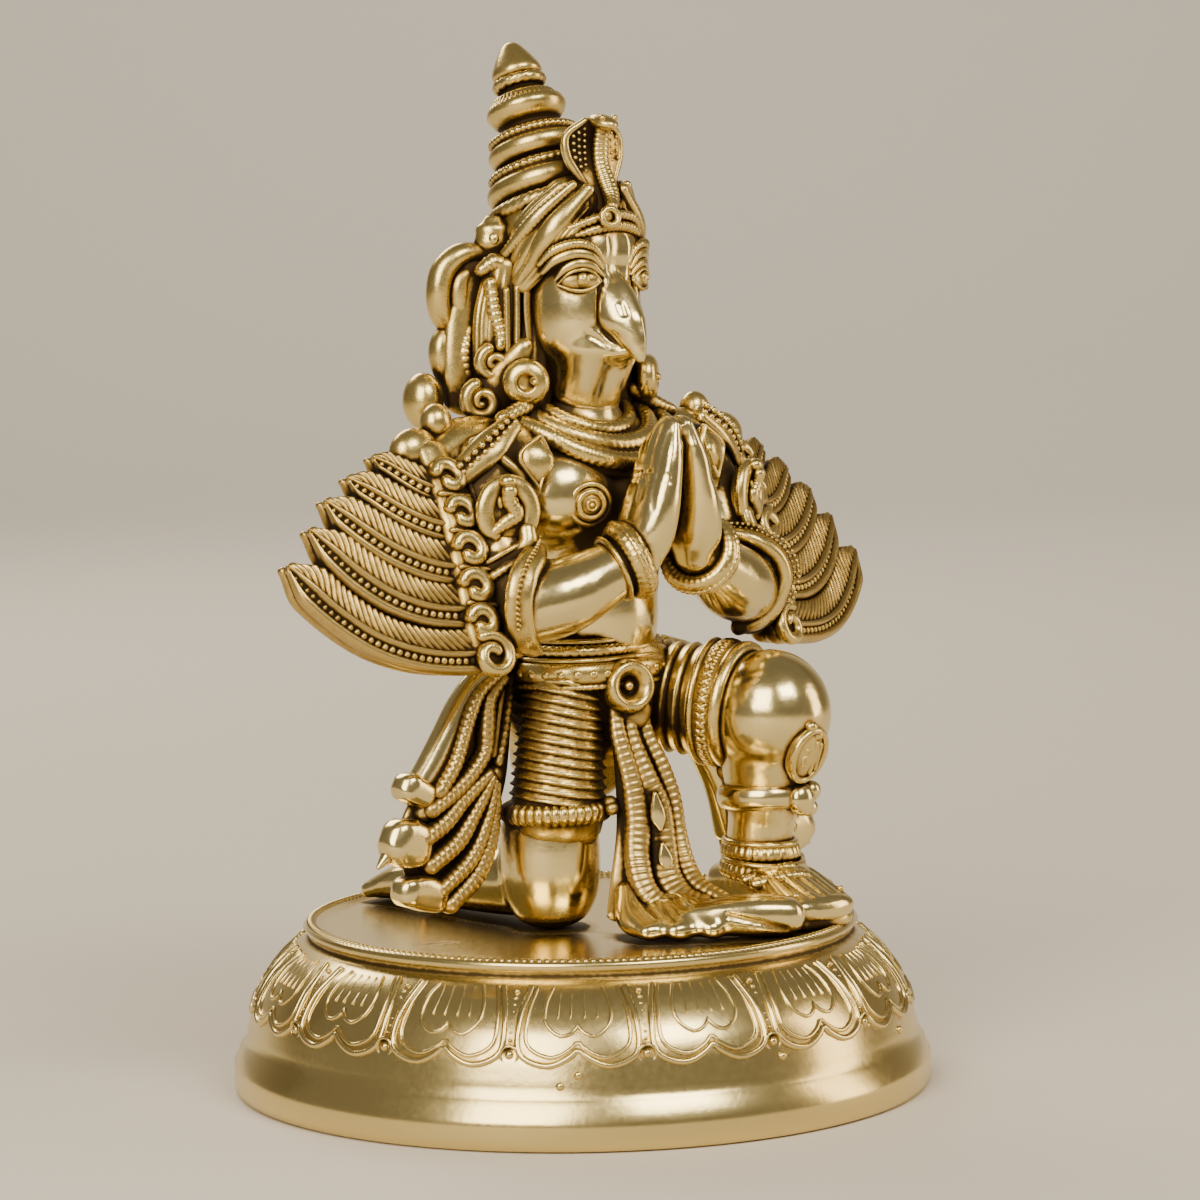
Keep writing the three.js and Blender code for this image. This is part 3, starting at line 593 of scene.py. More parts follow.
piece("kneeling_knee_shin_and_foot", [cast_whole([knee, shin, sole, *toes], 0.48, 0.6)], buffed_brass)
ring = np.linspace(0, 2 * math.pi, 25)
ankle = [(RIGHT_KNEE + 4.1 * math.sin(t), 20.6, 28.3 + 4.0 * math.cos(t)) for t in ring]
outwards = [(math.sin(t), 0, math.cos(t)) for t in ring]
piece("kneeling_anklet", [strand(ankle, 0.7, 0.6, outwards, 10, 0.3, relief=notched(0.9, 0.3))],
      figure_brass)

# Raised left leg.
# The level thigh is wound in cloth that ends in a beaded hem; knee, garter and shin are buffed. Two
# notched anklets ring the leg, two more slope over the instep, and a thin slab lies under the foot.
LEFT_KNEE = 17


def folds(pitch, height, until):
    """Relief of overlapping turns of cloth, up to `until` mm along the limb."""
    def relief(run, angle, length):
        turn = (run / pitch) % 1
        return height * (turn - 0.5 - 0.9 * np.exp(-(turn / 0.12) ** 2)) * (run < until)
    return relief


thigh_line = [(5.4, 1.6, 57.6), (10, -6.4, 56.4), (13.4, -12.4, 55.6), (15.8, -17.6, 55), (16.8, -21, 54.4)]
thigh = strand(thigh_line, [7.4, 8.2, 8.1, 8.3, 7.3], [7.4, 7.9, 8.1, 8.3, 7.3], UP, 56, 0.3,
               relief=folds(2.1, 0.8, 16.6))
rows, run = spline(np.array(thigh_line), 0.5)
along_thigh = frames(rows, UP)


def band_round(place, radius, wide, high):
    """A band that rings the thigh `place` mm along it, its middle line and the way that faces."""
    spot = np.array([np.interp(place, run, rows[:, k]) for k in range(3)])
    index = int(np.searchsorted(run, place))
    across, out = along_thigh[1][index], along_thigh[2][index]
    turn = np.linspace(0, 2 * math.pi, 41)
    aims = np.outer(np.sin(turn), across) + np.outer(np.cos(turn), out)
    return strand(spot + aims * radius, wide, high, aims, 12, 0.35), spot + aims * radius, aims


edges = [band_round(17.4, 8.6, 0.6, 0.8)[0], band_round(21.9, 8.5, 1.2, 0.95)[0]]
bed, line, aims = band_round(19.6, 8.3, 2.2, 0.9)
piece("raised_thigh_cloth", [thigh, *edges, bed], figure_brass)
for name, slant in (("raised_thigh_hem_beads", 0.55), ("raised_thigh_hem_beads_crossed", -0.55)):
    row(name, [(line + aims * 0.7, aims)], 1.25, 0.42, 1.35, 0.55, slant)
kneecap = bead((LEFT_KNEE - 0.3, -23.2, 54.2), (8.6, 8.9, 9.2), around=64)
upper_shin = strand([(LEFT_KNEE, -22.8, 52), (LEFT_KNEE, -22.0, 46.4), (LEFT_KNEE, -21.2, 41)],
                    [7.4, 6.5, 5.3], [7.9, 6.9, 5.3], FRONT, 48, 0.5)
lower_shin = strand([(LEFT_KNEE, -21.2, 42), (LEFT_KNEE, -20.4, 36), (LEFT_KNEE, -19.4, 29)],
                    [5.0, 4.8, 5.0], [5.0, 4.8, 5.0], FRONT, 48, 0.5)
stub = strand([(16.2, -19.4, 54.8), (16.9, -23, 54.2)], 7.9, 8.1, UP, 48, 0.6)
piece("raised_knee_and_shin", [cast_whole([kneecap, upper_shin, lower_shin, stub], 0.48, 1.0)], buffed_brass)

garter = [
    turned([(0, -1.9), (5.6, -1.9), (6.7, -1.5), (7.1, -0.5), (7.1, 0.5), (6.7, 1.5), (5.6, 1.9),
            (0, 1.9)], 72, (LEFT_KNEE, -21.6, 42.2), 0.06, 0.3),
    bead((LEFT_KNEE + 0.4, -28.6, 42.0), (2.2, 1.6, 2.4), around=24),
    bead((LEFT_KNEE + 2.9, -28.1, 43.0), (1.5, 1.3, 1.5), around=20),
    bead((LEFT_KNEE + 2.3, -28.0, 40.6), (1.6, 1.3, 1.3), around=20),
]
piece("garter", garter, buffed_brass)

MEDALLION_FACE = (0.05, -1, -0.38)
medallion_aim = np.array(MEDALLION_FACE) / np.linalg.norm(MEDALLION_FACE)
medallion_up = np.array([0, medallion_aim[2], -medallion_aim[1]])
medallion_up /= np.linalg.norm(medallion_up)
medallion_side = np.cross(medallion_up, medallion_aim)
MEDALLION = np.array([LEFT_KNEE - 0.7, -30.4, 49.0])


def on_medallion(across, up, lift=1.15):
    """A point of the medallion's face."""
    return MEDALLION + across * medallion_side + up * medallion_up + lift * medallion_aim


full_turn = np.linspace(0, 2 * math.pi, 33)
oval = [on_medallion(3.2 * math.sin(t), 3.9 * math.cos(t), 0.7) for t in full_turn]
curl = [on_medallion(-1.1 + 0.9 * (1 - t / 9) * math.sin(t), -0.4 + 1.5 * (1 - t / 9) * math.cos(t))
          for t in np.linspace(0, 7, 16)]
medal = [
    bead(MEDALLION, (3.5, 1.5, 4.2), MEDALLION_FACE, 48),
    strand(oval, 0.55, 0.7, MEDALLION_FACE, 12, 0.3),
    strand(curl, 0.32, 0.4, MEDALLION_FACE, 8, 0.2),
    strand([on_medallion(0.7, -2.6), on_medallion(0.7, 2.0)], 0.36, 0.45, MEDALLION_FACE, 8, 0.3),
    strand([on_medallion(1.8, -2.2, 1.0), on_medallion(1.8, 1.6, 1.0)], 0.34, 0.45, MEDALLION_FACE, 8, 0.3),
    bead(on_medallion(0.9, 3.1, 0.9), (0.9, 0.6, 0.7), MEDALLION_FACE, 16),
    bead(on_medallion(-0.4, 4.3, 0.2), (1.0, 1.0, 0.9), MEDALLION_FACE, 16),
]
piece("knee_medallion", medal, figure_brass)

anklets = []
for height, radius, slope, centre in ((34.1, 4.8, 0.05, -20.4), (31.4, 5.4, 0.1, -21.0)):
    round_leg = [(LEFT_KNEE + radius * math.sin(t), centre - radius * 1.06 * math.cos(t),
                  height - slope * radius * math.cos(t)) for t in full_turn]
    aims = [(math.sin(t), -math.cos(t), 0.2) for t in full_turn]
    anklets.append(strand(round_leg, 1.2, 0.95, aims, 12, 0.18, 2.6, relief=notched(1.0, 0.28, 0, 0.4)))
    inner = [(x, y, z + 1.3) for x, y, z in round_leg]
    anklets.append(strand(inner, 0.5, 0.65, aims, 8, 0.3))
over_instep = [(-0.5, -0.5, 0.8), (0, -0.5, 1), (0.5, -0.5, 0.8)]
for line, thick in (([(10.6, -23.8, 30.6), (16.2, -27.0, 32.2), (21.8, -26.0, 30.2)], 0.8),
                    ([(10.0, -26.2, 30.4), (16.0, -29.2, 31.4), (22.2, -29.0, 29.2)], 1.0)):
    anklets.append(strand(line, thick, 0.75, over_instep, 12, 0.18, relief=notched(0.95, 0.28, 0, 0.4)))
piece("anklets", anklets, figure_brass)

foot = cast_whole([
    strand([(LEFT_KNEE, -14.4, 28.6), (16.8, -20, 29.2), (16.2, -26, 29.0), (15.7, -30.8, 27.9),
            (15.4, -34.2, 27.0)], [3.9, 4.9, 5.6, 6.0, 6.0], [3.4, 4.0, 3.7, 2.7, 2.1], UP, 48, 0.4, 2.7),
    bead((LEFT_KNEE, -15.2, 28.4), (4.0, 3.2, 3.2), around=32),
], 0.34, 0.4)
toe_gaps = [[(x, -28.6, 31.6), (x + 0.2, -31.6, 30.4), (x + 0.3, -34.6, 29.2)]
            for x in (12.6, 15.0, 17.2, 19.3)]
foot = chased(foot, toe_gaps, 0.55, 0.35)
piece("raised_foot", [foot], buffed_brass)
dots = [bead((x, -33.2, 29.2), (0.55, 0.5, 0.5), (0, -0.5, 1), 14) for x in (11.3, 13.9, 16.2, 18.4, 20.4)]
slab = strand([(LEFT_KNEE + 0.2, -11.8, 25.1), (16.6, -22, 25.1), (15.8, -30, 25.1), (15.4, -34.6, 25.2)],
              [5.0, 5.8, 6.2, 5.4], [0.9, 0.95, 1.0, 1.0], UP, 32, 0.5, 4)
piece("foot_slab_and_dots", [slab, *dots], figure_brass)

# Trunk, neck and arms.
# One smooth casting, buffed by hand: seat, waist, chest with its two bosses, neck, shoulders, upper
# arms and forearms, with the palms pressed together in front of the chest.


def both(build):
    """The parts of a detail for the right side and then for the left."""
    return [part for side in (RIGHT, LEFT) for part in build(side)]


def sided(side, *points):
    """Points of the figure's left, or their mirror images for its right."""
    return [(side * x, y, z) for x, y, z in points]


spine = [(0, 0.5, 52), (0, -0.3, 60), (0, -5.0, 67), (0, -4.4, 75), (0, -3.8, 84), (0, -2.9, 91),
         (0, -1.7, 97.5)]
trunk = [
    strand(spine, [10.2, 11.0, 8.9, 10.2, 13.6, 14.6, 6.4], [8.2, 8.8, 7.9, 8.2, 8.4, 7.6, 4.6], around=64,
           step=0.6),
    strand([(0, -1.8, 94), (0, -1.8, 100), (0, -1.6, 107)], [6.4, 5.3, 5.6], [6.2, 5.2, 5.4], around=48),
    bead((0, -8.2, 71.0), (5.6, 3.8, 4.6), around=40),
    *[bead((side * 8.6, -6.8, 86.4), (8.2, 6.4, 7.4), (side * 0.3, -1, 0), 48) for side in (RIGHT, LEFT)],
]
HAND_SIZES = ((3.2, 4.3, 4.7, 4.4, 3.6, 1.9), (2.7, 3.3, 3.0, 2.3, 1.7, 0.9))


def limbs(side):
    """Shoulder, upper arm and forearm."""
    elbow = (side * 21.4, -13.2, 71.4)
    wrist = (side * 6.4, -19.4, 77.8)
    return [
        strand(sided(side, (8, -2.4, 93), (15, -2.8, 92.4), (20.6, -3.8, 90)), [4.6, 5.2, 5.2],
               [4.2, 4.8, 5], UP, 40),
        strand([(side * 20.4, -3.6, 90.5), (side * 22.2, -8, 81), elbow], [5.2, 4.7, 4.9], [5.2, 4.7, 4.9],
               around=40),
        strand([elbow, (side * 16.4, -15.8, 73), wrist], [5.3, 5.7, 3.7], [5.2, 5.4, 3.6], UP, 48),
    ]


def palms(side):
    """A flat hand with four fingers side by side and the thumb along its near edge."""
    hand = strand(sided(side, (5.4, -19.6, 77.6), (4.8, -20.0, 80.6), (4.0, -20.5, 84.6), (3.0, -20.8, 89),
                        (2.1, -21.2, 93.4), (1.2, -21.8, 96.9)), *HAND_SIZES, (side, 0, 0), 40, 0.4, 2.5)
    fingers = []
    for k, (shift, top) in enumerate(((-3.0, 93.6), (-1.1, 95.9), (0.9, 96.6), (2.7, 94.4))):
        fingers.append(strand([(side * 3.7, -20.7 + shift, 87), (side * 2.7, -21.0 + shift * 0.95, 91.5),
                               (side * 1.5, -21.6 + shift * 0.72, top)], [1.15, 1.1, 0.8], [1.5, 1.3, 0.85],
                              (side, 0, 0), 16, 0.3))
    thumb = strand(sided(side, (4.6, -16.4, 80.4), (3.0, -15.6, 85), (1.3, -16.0, 89.6)), [1.8, 1.5, 0.9],
                   [1.8, 1.5, 0.9], (side, 0, 0), 20, 0.3)
    return [hand, thumb, *fingers]


piece("trunk_and_neck", [cast_whole(trunk, 0.68, 1.2)], buffed_brass)
piece("arms", [cast_whole(both(limbs), 0.68, 1.5)], buffed_brass)
hands = cast_whole(both(palms), 0.36, 0.3)
creases = [[(side * 4.6, y, z), (side * 3.6, y - 0.2, z + 6.5), (side * 2.2, y - 0.3, z + 11)]
           for side in (RIGHT, LEFT) for y, z in ((-22.7, 84.5), (-20.9, 85.4), (-19.0, 84.8))]
knuckles = [[(side * 3.6, -24.5, 88.6 + k), (side * 4.2, -21.4, 88.8 + k), (side * 3.8, -18, 88.5 + k)]
            for side in (RIGHT, LEFT) for k in (0, 0.8)]
hands = chased(hands, creases, 0.6, 0.1)
piece("hands", [chased(hands, knuckles, 0.4, 0.1)], buffed_brass)


def plane_of(facing):
    """The ways across a face, up it and out of it."""
    aim = np.asarray(facing, float) / np.linalg.norm(facing)
    across = np.cross(aim, UP)
    across /= np.linalg.norm(across)
    return across, np.cross(across, aim), aim


def ring_on(centre, facing, radius):
    """Points of a ring that lies on a face."""
    across, up, _ = plane_of(facing)
    return centre + radius * (np.outer(np.sin(full_turn), across) + np.outer(np.cos(full_turn), up))


def chest_boss(side):
    """A boss of three rings round a small dot."""
    facing = (side * 0.42, -1, -0.12)
    centre = np.array([side * 8.6, -12.9, 85.4])
    aim = plane_of(facing)[2]
    return [
        *[strand(ring_on(centre + lift * aim, facing, radius), thick, thick * 1.2, facing, 10, 0.25)
          for radius, thick, lift in ((2.9, 0.45, 0.1), (1.9, 0.55, 0.55), (0.75, 0.28, 1.05))],
        bead(centre + 0.2 * aim, (2.0, 1.0, 2.0), facing, 28),
        bead(centre + 1.0 * aim, (0.45, 0.45, 0.45), facing, 12),
    ]


piece("chest_bosses", both(chest_boss), figure_brass)

# Neck lines, necklaces, pendants and shoulder straps.
# Two lines on the throat, three rope-cut strands on the chest, and a framed leaf-shaped pendant a
# side. A strap with three rows of beads lies over each shoulder.


def mirrored(half):
    """A line from the middle out, carried on to the other side."""
    return [(-x, y, z) for x, y, z in half[::-1] if x] + list(half)


def collar(line, facing, wide, pitch, slant):
    """A flat cast strand round the neck, cut across like a rope."""
    return strand(mirrored(line), wide, wide * 0.85, mirrored(facing), 16, 0.22,
                  relief=notched(pitch, 0.3, slant, 0.4))


throat = [strand(mirrored([(0, -6.9, 98.4 + 1.5 * k), (3.6, -5.6, 98.8 + 1.5 * k),
                           (5.5, -2.0, 99.6 + 1.5 * k)]), 0.3, 0.35,
                 mirrored([(0, -1, 0.1), (0.6, -0.8, 0.1), (1, 0, 0)]), 8, 0.4) for k in (0, 1)]
bands = [
    collar([(0, -7.9, 95.6), (3.6, -7.2, 96.1), (6.6, -4.8, 97.4), (8.0, -1.6, 99), (8.0, 2.6, 100.2),
            (4, 6.4, 100.6)], [(0, -0.7, 0.7), (0.3, -0.7, 0.7), (0.6, -0.4, 0.7), (0.7, 0, 0.7),
                               (0.6, 0.5, 0.7), (0.2, 0.8, 0.6)], 1.2, 1.05, 1.0),
    collar([(0, -10.6, 93.5), (4.6, -10.0, 94.1), (8.2, -7.6, 95.5), (10.4, -3.6, 97.4), (10.8, 2.6, 98.6),
            (5.6, 7.8, 98.6)], [(0, -0.8, 0.6), (0.3, -0.8, 0.6), (0.5, -0.6, 0.7), (0.7, -0.1, 0.7),
                                (0.6, 0.5, 0.7), (0.2, 0.9, 0.5)], 1.5, 1.1, -1.2),
    collar([(0, -13.2, 91.1), (5.0, -13.0, 91.6), (9.4, -11.0, 93.2), (12.4, -7.4, 95.6),
            (13.2, -1.0, 97.4), (9.0, 6.6, 97.2)], [(0, -1, 0.4), (0.3, -1, 0.4), (0.5, -0.8, 0.5),
                                                    (0.7, -0.4, 0.7), (0.7, 0.2, 0.7), (0.2, 0.9, 0.5)],
           1.4, 1.1, 1.2),
    strand(mirrored([(0, -8.6, 93.2), (6.4, -6.8, 94.6), (9.4, -1, 97.2)]), 3.2, 1.3,
           mirrored([(0, -0.7, 0.7), (0.5, -0.6, 0.7), (0.7, 0, 0.7)]), 16, 0.5),
    strand(mirrored([(0, -11.6, 91.0), (6.6, -10.4, 92.2), (11.4, -4.6, 95.2)]), 2.6, 1.2,
           mirrored([(0, -0.9, 0.5), (0.5, -0.8, 0.5), (0.7, -0.2, 0.7)]), 16, 0.5),
]
piece("necklace_beds_and_throat_lines", throat + bands, figure_brass)


def chest_ornaments(side):
    """The pendant with its two framing lines, the strap's bed and its loose end."""
    facing = (side * 0.5, -1, 0.15)
    lozenge = sided(side, (15.8, -10.4, 94.6), (17.0, -11.4, 92.8), (17.4, -11.6, 90.6),
                    (17.2, -11.2, 88.4))
    return [
        strand(lozenge, [0.6, 2.5, 2.0, 0.2], [0.8, 0.9, 0.8, 0.5], facing, 16, 0.3),
        strand(sided(side, (15.9, -10.9, 95.4), (15.0, -11.4, 92.9), (17.3, -12.0, 88.0)), 0.3, 0.55,
               facing, 8, 0.3),
        strand(sided(side, (15.9, -10.9, 95.4), (19.6, -10.6, 92.6), (17.3, -12.0, 88.0)), 0.3, 0.55,
               facing, 8, 0.3),
        strand(sided(side, (18.4, -7.6, 97.0), (22.8, -7.9, 94.0), (26.8, -6.0, 90.2)), [1.7, 2.4, 2.0],
               1.0, (side * 0.5, -0.8, 0.6), 16, 0.4),
        strand(sided(side, (21.4, -8.9, 92.4), (19.2, -10.6, 89.6), (18.6, -10.4, 86.6)), 0.7, 0.6, facing,
               10, 0.4),
    ]


piece("pendants_and_straps", both(chest_ornaments), figure_brass)
straps = []
for side in (RIGHT, LEFT):
    line = np.array(sided(side, (18.4, -8.4, 97.2), (22.8, -8.8, 94.4), (26.8, -6.9, 90.6)))
    for shift in (-1.2, 0, 1.2):
        straps.append((line + [side * shift * 0.5, 0, shift * 0.8], (side * 0.5, -0.8, 0.6)))
row("shoulder_strap_beads", straps, 1.25, 0.58, 0.55, 0.6)

# Armlets, sleeve cuffs and bracelets.
# A hooded cobra with a notched body coils on each upper arm. A dotted cuff closes the sleeve at the
# elbow, and a thick notched bracelet sits on the wrist.


def cobra_armlet(side):
    """A backing plate, the hood's rim, the tail, the coiled body, the head and two markings."""
    facing = (side * 0.45, -1, 0.1)
    across, _, aim = plane_of(facing)
    centre = np.array([side * 23.4, -12.2, 85.0])

    def on(x, z, lift=0.0):
        return centre - side * x * across + z * np.array(UP) + lift * aim
    hood = [on(-3.3 * math.sin(t), 3.9 * math.cos(t), 0.2) for t in np.linspace(-2.5, 2.5, 15)]
    tail = [on(-2.6, -2.4, 0.6), on(-2.4, -4.6, 1.2), on(0.6, -6.6, 0.8), on(3.4, -8.2, 0.2),
            on(4.8, -9.2, -0.6)]
    coil = [on(2.2, -2.6, 0.4), on(0.6, -1.4, 1.0), on(-0.9, -0.2, 1.2), on(0.2, 1.6, 1.4),
            on(0.2, 3.0, 1.8)]
    return [
        bead(on(0, 0, -0.6), (3.6, 1.5, 4.2), facing, 32),
        strand(hood, [0.9, *[1.45] * 13, 0.9], 0.95, facing, 16, 0.3),
        strand(tail, [1.3, 1.4, 1.4, 1.2, 0.7], [1.0, 1.1, 1.1, 1.0, 0.6], facing, 14, 0.3),
        strand(coil, [0.8, 1.05, 1.15, 1.05, 1.1], 0.9, facing, 14, 0.2, relief=notched(0.7, 0.16)),
        bead(on(0.2, 4.3, 1.2), (1.3, 1.1, 1.0), facing, 18),
        bead(on(-0.9, 1.3, 0.9), (0.5, 0.5, 1.0), facing, 12),
        bead(on(1.3, 1.5, 0.9), (0.5, 0.5, 1.0), facing, 12),
    ]


piece("cobra_armlets", both(cobra_armlet), figure_brass)


def ring_round(centre, axis, radius):
    """Points of a ring round an arm, and the way each of them faces."""
    axis = np.asarray(axis, float) / np.linalg.norm(axis)
    u = np.cross(axis, UP)
    u /= np.linalg.norm(u)
    v = np.cross(axis, u)
    angles = np.linspace(0, 2 * math.pi, 37)
    aims = np.outer(np.cos(angles), u) + np.outer(np.sin(angles), v)
    return np.asarray(centre, float) + radius * aims, aims


punched, cuffs = [], []
for side in (RIGHT, LEFT):
    forearm = (side * -15.2, -6.4, 7.4)
    for centre, radius, wide, deep, cuts in (
            ((side * 6.8, -19.2, 77.6), 4.6, 1.75, 1.35, notched(0.85, 0.16, 0, 0.5)),
            ((side * 6.8, -19.2, 77.6), 5.7, 0.5, 0.5, notched(0.85, 0.25, 0, 0.5)),
            ((side * 9.1, -18.3, 76.5), 4.4, 0.4, 0.7, None)):
        line, aims = ring_round(centre, forearm, radius)
        cuffs.append(strand(line, wide, deep, aims, 12, 0.28, relief=cuts))
    line = np.array(sided(side, (18.6, -12.6, 79.6), (21.4, -15.4, 79.0), (24.7, -16.9, 76.6),
                          (26.0, -17.2, 73.4), (25.4, -16.6, 70.2), (23.4, -15.4, 67.2),
                          (20.0, -13.4, 65.8)))
    aims = np.array(sided(side, (0.1, -0.6, 0.8), (0.3, -0.8, 0.6), (0.5, -0.85, 0.3), (0.6, -0.8, 0),
                          (0.6, -0.8, -0.3), (0.4, -0.8, -0.6), (0.2, -0.5, -0.9)))
    cuffs.append(strand(line, [1.2, 1.8, 2.0, 2.0, 2.0, 1.8, 1.2], 1.2, aims, 16, 0.4, 3))
    inward = (line.mean(0) - line) / np.linalg.norm(line.mean(0) - line, axis=1)[:, None]
    for inset in (-1.0, -0.3, 0.4, 1.1):
        punched.append(((line + aims * 1.05 + inward * inset)[:5], aims[:5]))
    upper_arm = (side * -0.3, -0.5, -1)
    line, aims = ring_round((side * 22.4, -10.2, 76.4), upper_arm, 5.1)
    cuffs.append(strand(line, 0.7, 0.7, aims, 10, 0.3, relief=notched(0.9, 0.25)))
    line, aims = ring_round((side * 22.4, -9.4, 78.4), upper_arm, 5.0)
    cuffs.append(strand(line, 0.45, 0.6, aims, 10, 0.4))
piece("bracelets_and_cuffs", cuffs, figure_brass)
row("cuff_punch_dots", punched, 0.8, 0.3, 0.28, 0.26)

# Seat cloth, belt and buckle.
# The loincloth is wound tight over the seat. A twisted cord, a band with raised dots and a dished
# round buckle hold it. All is cast in one with the trunk and chased.
hips = np.array([(0, -13.0), (-4.2, -13.8), (-8.6, -13.4), (-12.2, -11.2), (-14.3, -7.2), (-14.4, -1.6),
                 (-12.4, 4.2), (-7, 8.4), (0, 9.6), (7, 8.8), (12, 5.2), (13.8, 0), (12.6, -5.6),
                 (7.6, -10.8), (3.4, -12.6), (0, -13.0)])
SEAT_MIDDLE = np.array([-0.6, -2.6])


def round_hips(z, scale):
    """A level line round hips and thigh root, at `scale` of the belt's size, and the way it faces."""
    flat = spline(np.column_stack([hips, np.full(len(hips), z)]), 0.8)[0]
    flat[:, :2] = SEAT_MIDDLE + (flat[:, :2] - SEAT_MIDDLE) * scale
    tangent = np.gradient(flat[:, :2], axis=0)
    aims = np.column_stack([-tangent[:, 1], tangent[:, 0], 0 * flat[:, 0]])
    if (aims[:, :2] * (flat[:, :2] - SEAT_MIDDLE)).sum() < 0:
        aims = -aims
    return flat, aims / np.linalg.norm(aims, axis=1)[:, None]


seat = strand([(-0.4, -2.2, 64.4), (-0.5, -2.4, 62.6), (-0.4, -2.2, 59.4), (0, -0.4, 54), (0, 1.0, 48.5)],
              [10.8, 12.6, 12.8, 12.4, 9.8], [8.9, 10.2, 10.6, 10.4, 7.8], around=96, step=0.35, square=2.4,
              relief=wound(1.9, 0.3, 0.06))
piece("seat_cloth", [seat], figure_brass)
BAND_LEVEL = (61.2, 0.965)
belt = []
for z, scale, thick, tall, cuts in ((65.6, 0.81, 0.5, 0.45, None),
                                    (64.3, 0.865, 0.95, 0.95, notched(1.15, 0.3, 1.0, 0.5)),
                                    (63.1, 0.93, 0.5, 0.4, None), (*BAND_LEVEL, 0.9, 1.6, None),
                                    (59.4, 1.0, 0.5, 0.45, notched(0.9, 0.14, 0, 0.5))):
    line, aims = round_hips(z, scale)
    belt.append(strand(line[::2], tall, thick, aims[::2], 12, 0.27 if cuts else 0.8, relief=cuts))
piece("belt_bands", belt, figure_brass)
line, aims = round_hips(*BAND_LEVEL)
row("belt_band_dots", [(line[::3] + 0.75 * aims[::3], aims[::3])], 2.3, 0.72, 0.72, 0.4)


def faced(part, facing, centre):
    """A part turned about +Z set down on `centre`, its axis towards `facing`."""
    across, up, aim = plane_of(facing)
    place, quads, triangles = part
    return outward(place @ np.stack([-across, up, aim]) + centre, quads, triangles)


buckle = [
    turned([(0, -2.4), (3.4, -2.4), (3.9, -1.4), (3.9, 0.2), (3.6, 1.2), (3.0, 1.6), (2.3, 1.3), (1.5, 0.2),
            (1.3, -0.7), (0, -0.8)], 64, (0, 0, 0), 0.0, 0.2),
    bead((0, 0, -0.1), (0.75, 0.75, 0.8), FRONT, 20),
]
piece("buckle", [faced(part, (-0.25, -1, 0.1), (-3.2, -14.6, 59.2)) for part in buckle], figure_brass)

# Front sash.
# Notched strands fall from a knot under the buckle and sweep to the left over the plate; smooth
# diamond plates lie on the middle one, and its end is rolled up into a thick tail.
SASH_FACE = (-0.45, -1, 0.15)

# The sash, the fans and the wings lie too deep for the wheel and keep most of their patina; their hollows
# also take more painted shade.
aged_brass = cast_brass("brass, lost-wax cast, patina left on", bright="#c2a766", warm="#8c6e33",
                        patina="#30220c", roughness=0.31, wear=0.3, grain_mm=0.35, grain_depth=0.02)
cut_across = notched(1.05, 0.24, 0, 0.3)
SWEPT = [(-0.45, -1, 0.1)] * 5 + [(-0.5, -0.9, 0.5), (-0.4, -0.5, 1), (-0.4, -0.5, 1)]
strands = [
    ([(-4.6, -13.2, 55.8), (-4.9, -14, 52.6), (-4.0, -15.5, 46.3), (-3.6, -16.5, 40.7), (-4.9, -17.7, 34.9),
      (-5.6, -20.2, 30.4), (-4.2, -24, 27.8), (-2.2, -27.4, 27.4)],
     [1.0, 1.2, 1.5, 1.9, 1.9, 1.8, 1.6, 1.2], [0.9, 1.0, 1.1, 1.3, 1.4, 1.5, 1.3, 1.0]),
    ([(-2.4, -13.4, 55.6), (-2.7, -14.4, 52), (-1.7, -16.5, 46.1), (-0.5, -17.6, 41.8), (-0.6, -18.6, 36.2),
      (-1.5, -20.4, 32), (-1.4, -23.4, 29.5), (0.2, -26.4, 28.6)],
     [1.0, 1.2, 1.5, 1.8, 2.0, 2.1, 2.0, 1.5], [0.9, 1.0, 1.1, 1.2, 1.3, 1.4, 1.3, 1.1]),
    ([(0.2, -13.4, 55.2), (0.6, -14.2, 52), (1.9, -16, 47), (2.6, -17.2, 42.6), (2.3, -18.4, 38),
      (1.9, -20.4, 33.6), (1.5, -23.4, 30.9), (2.2, -28, 29.2)],
     [1.0, 1.1, 1.2, 1.3, 1.4, 1.5, 1.4, 1.1], [0.9, 0.9, 1.0, 1.1, 1.2, 1.3, 1.2, 1.0]),
]
sash = [
    bead((-1.8, -13.2, 55.2), (3.2, 1.9, 2.6), SASH_FACE, 28),
    *[strand(line, wide, deep, SWEPT, 18, 0.18, 2.6, relief=cut_across) for line, wide, deep in strands],
    strand([(-1.4, -12, 55), (-1.2, -14, 46), (-1.2, -15.2, 38), (-2.6, -16.8, 31), (-4.6, -19.4, 26.2)],
           [2.6, 3.4, 4.2, 5.2, 6.2], 1.1, SASH_FACE, 28, 0.5),
    strand([(-5.2, -9.4, 41.4), (-6.0, -13.8, 41.8)], 1.1, 1.0, UP, 14, 0.4),
    bead((-5.7, -13.0, 42.4), (1.2, 1.2, 1.2), FRONT, 16),
]
piece("front_sash", sash, aged_brass)
plates = []
for x, y, z, tall in ((-2.0, -18.9, 41.4, 2.5), (-1.9, -20.2, 35.0, 1.8)):
    spots = [(x + 0.12 * k, y - 0.12 * k, z - tall * k / 2) for k in (-2, -1, 0, 1, 2)]
    plates.append(strand(spots, [0.35, 0.75, 1.05, 1.05, 0.35], [0.5, 0.6, 0.65, 0.6, 0.5], SASH_FACE, 20,
                         0.25, 2.8))
piece("sash_diamond_plates", plates, buffed_brass)
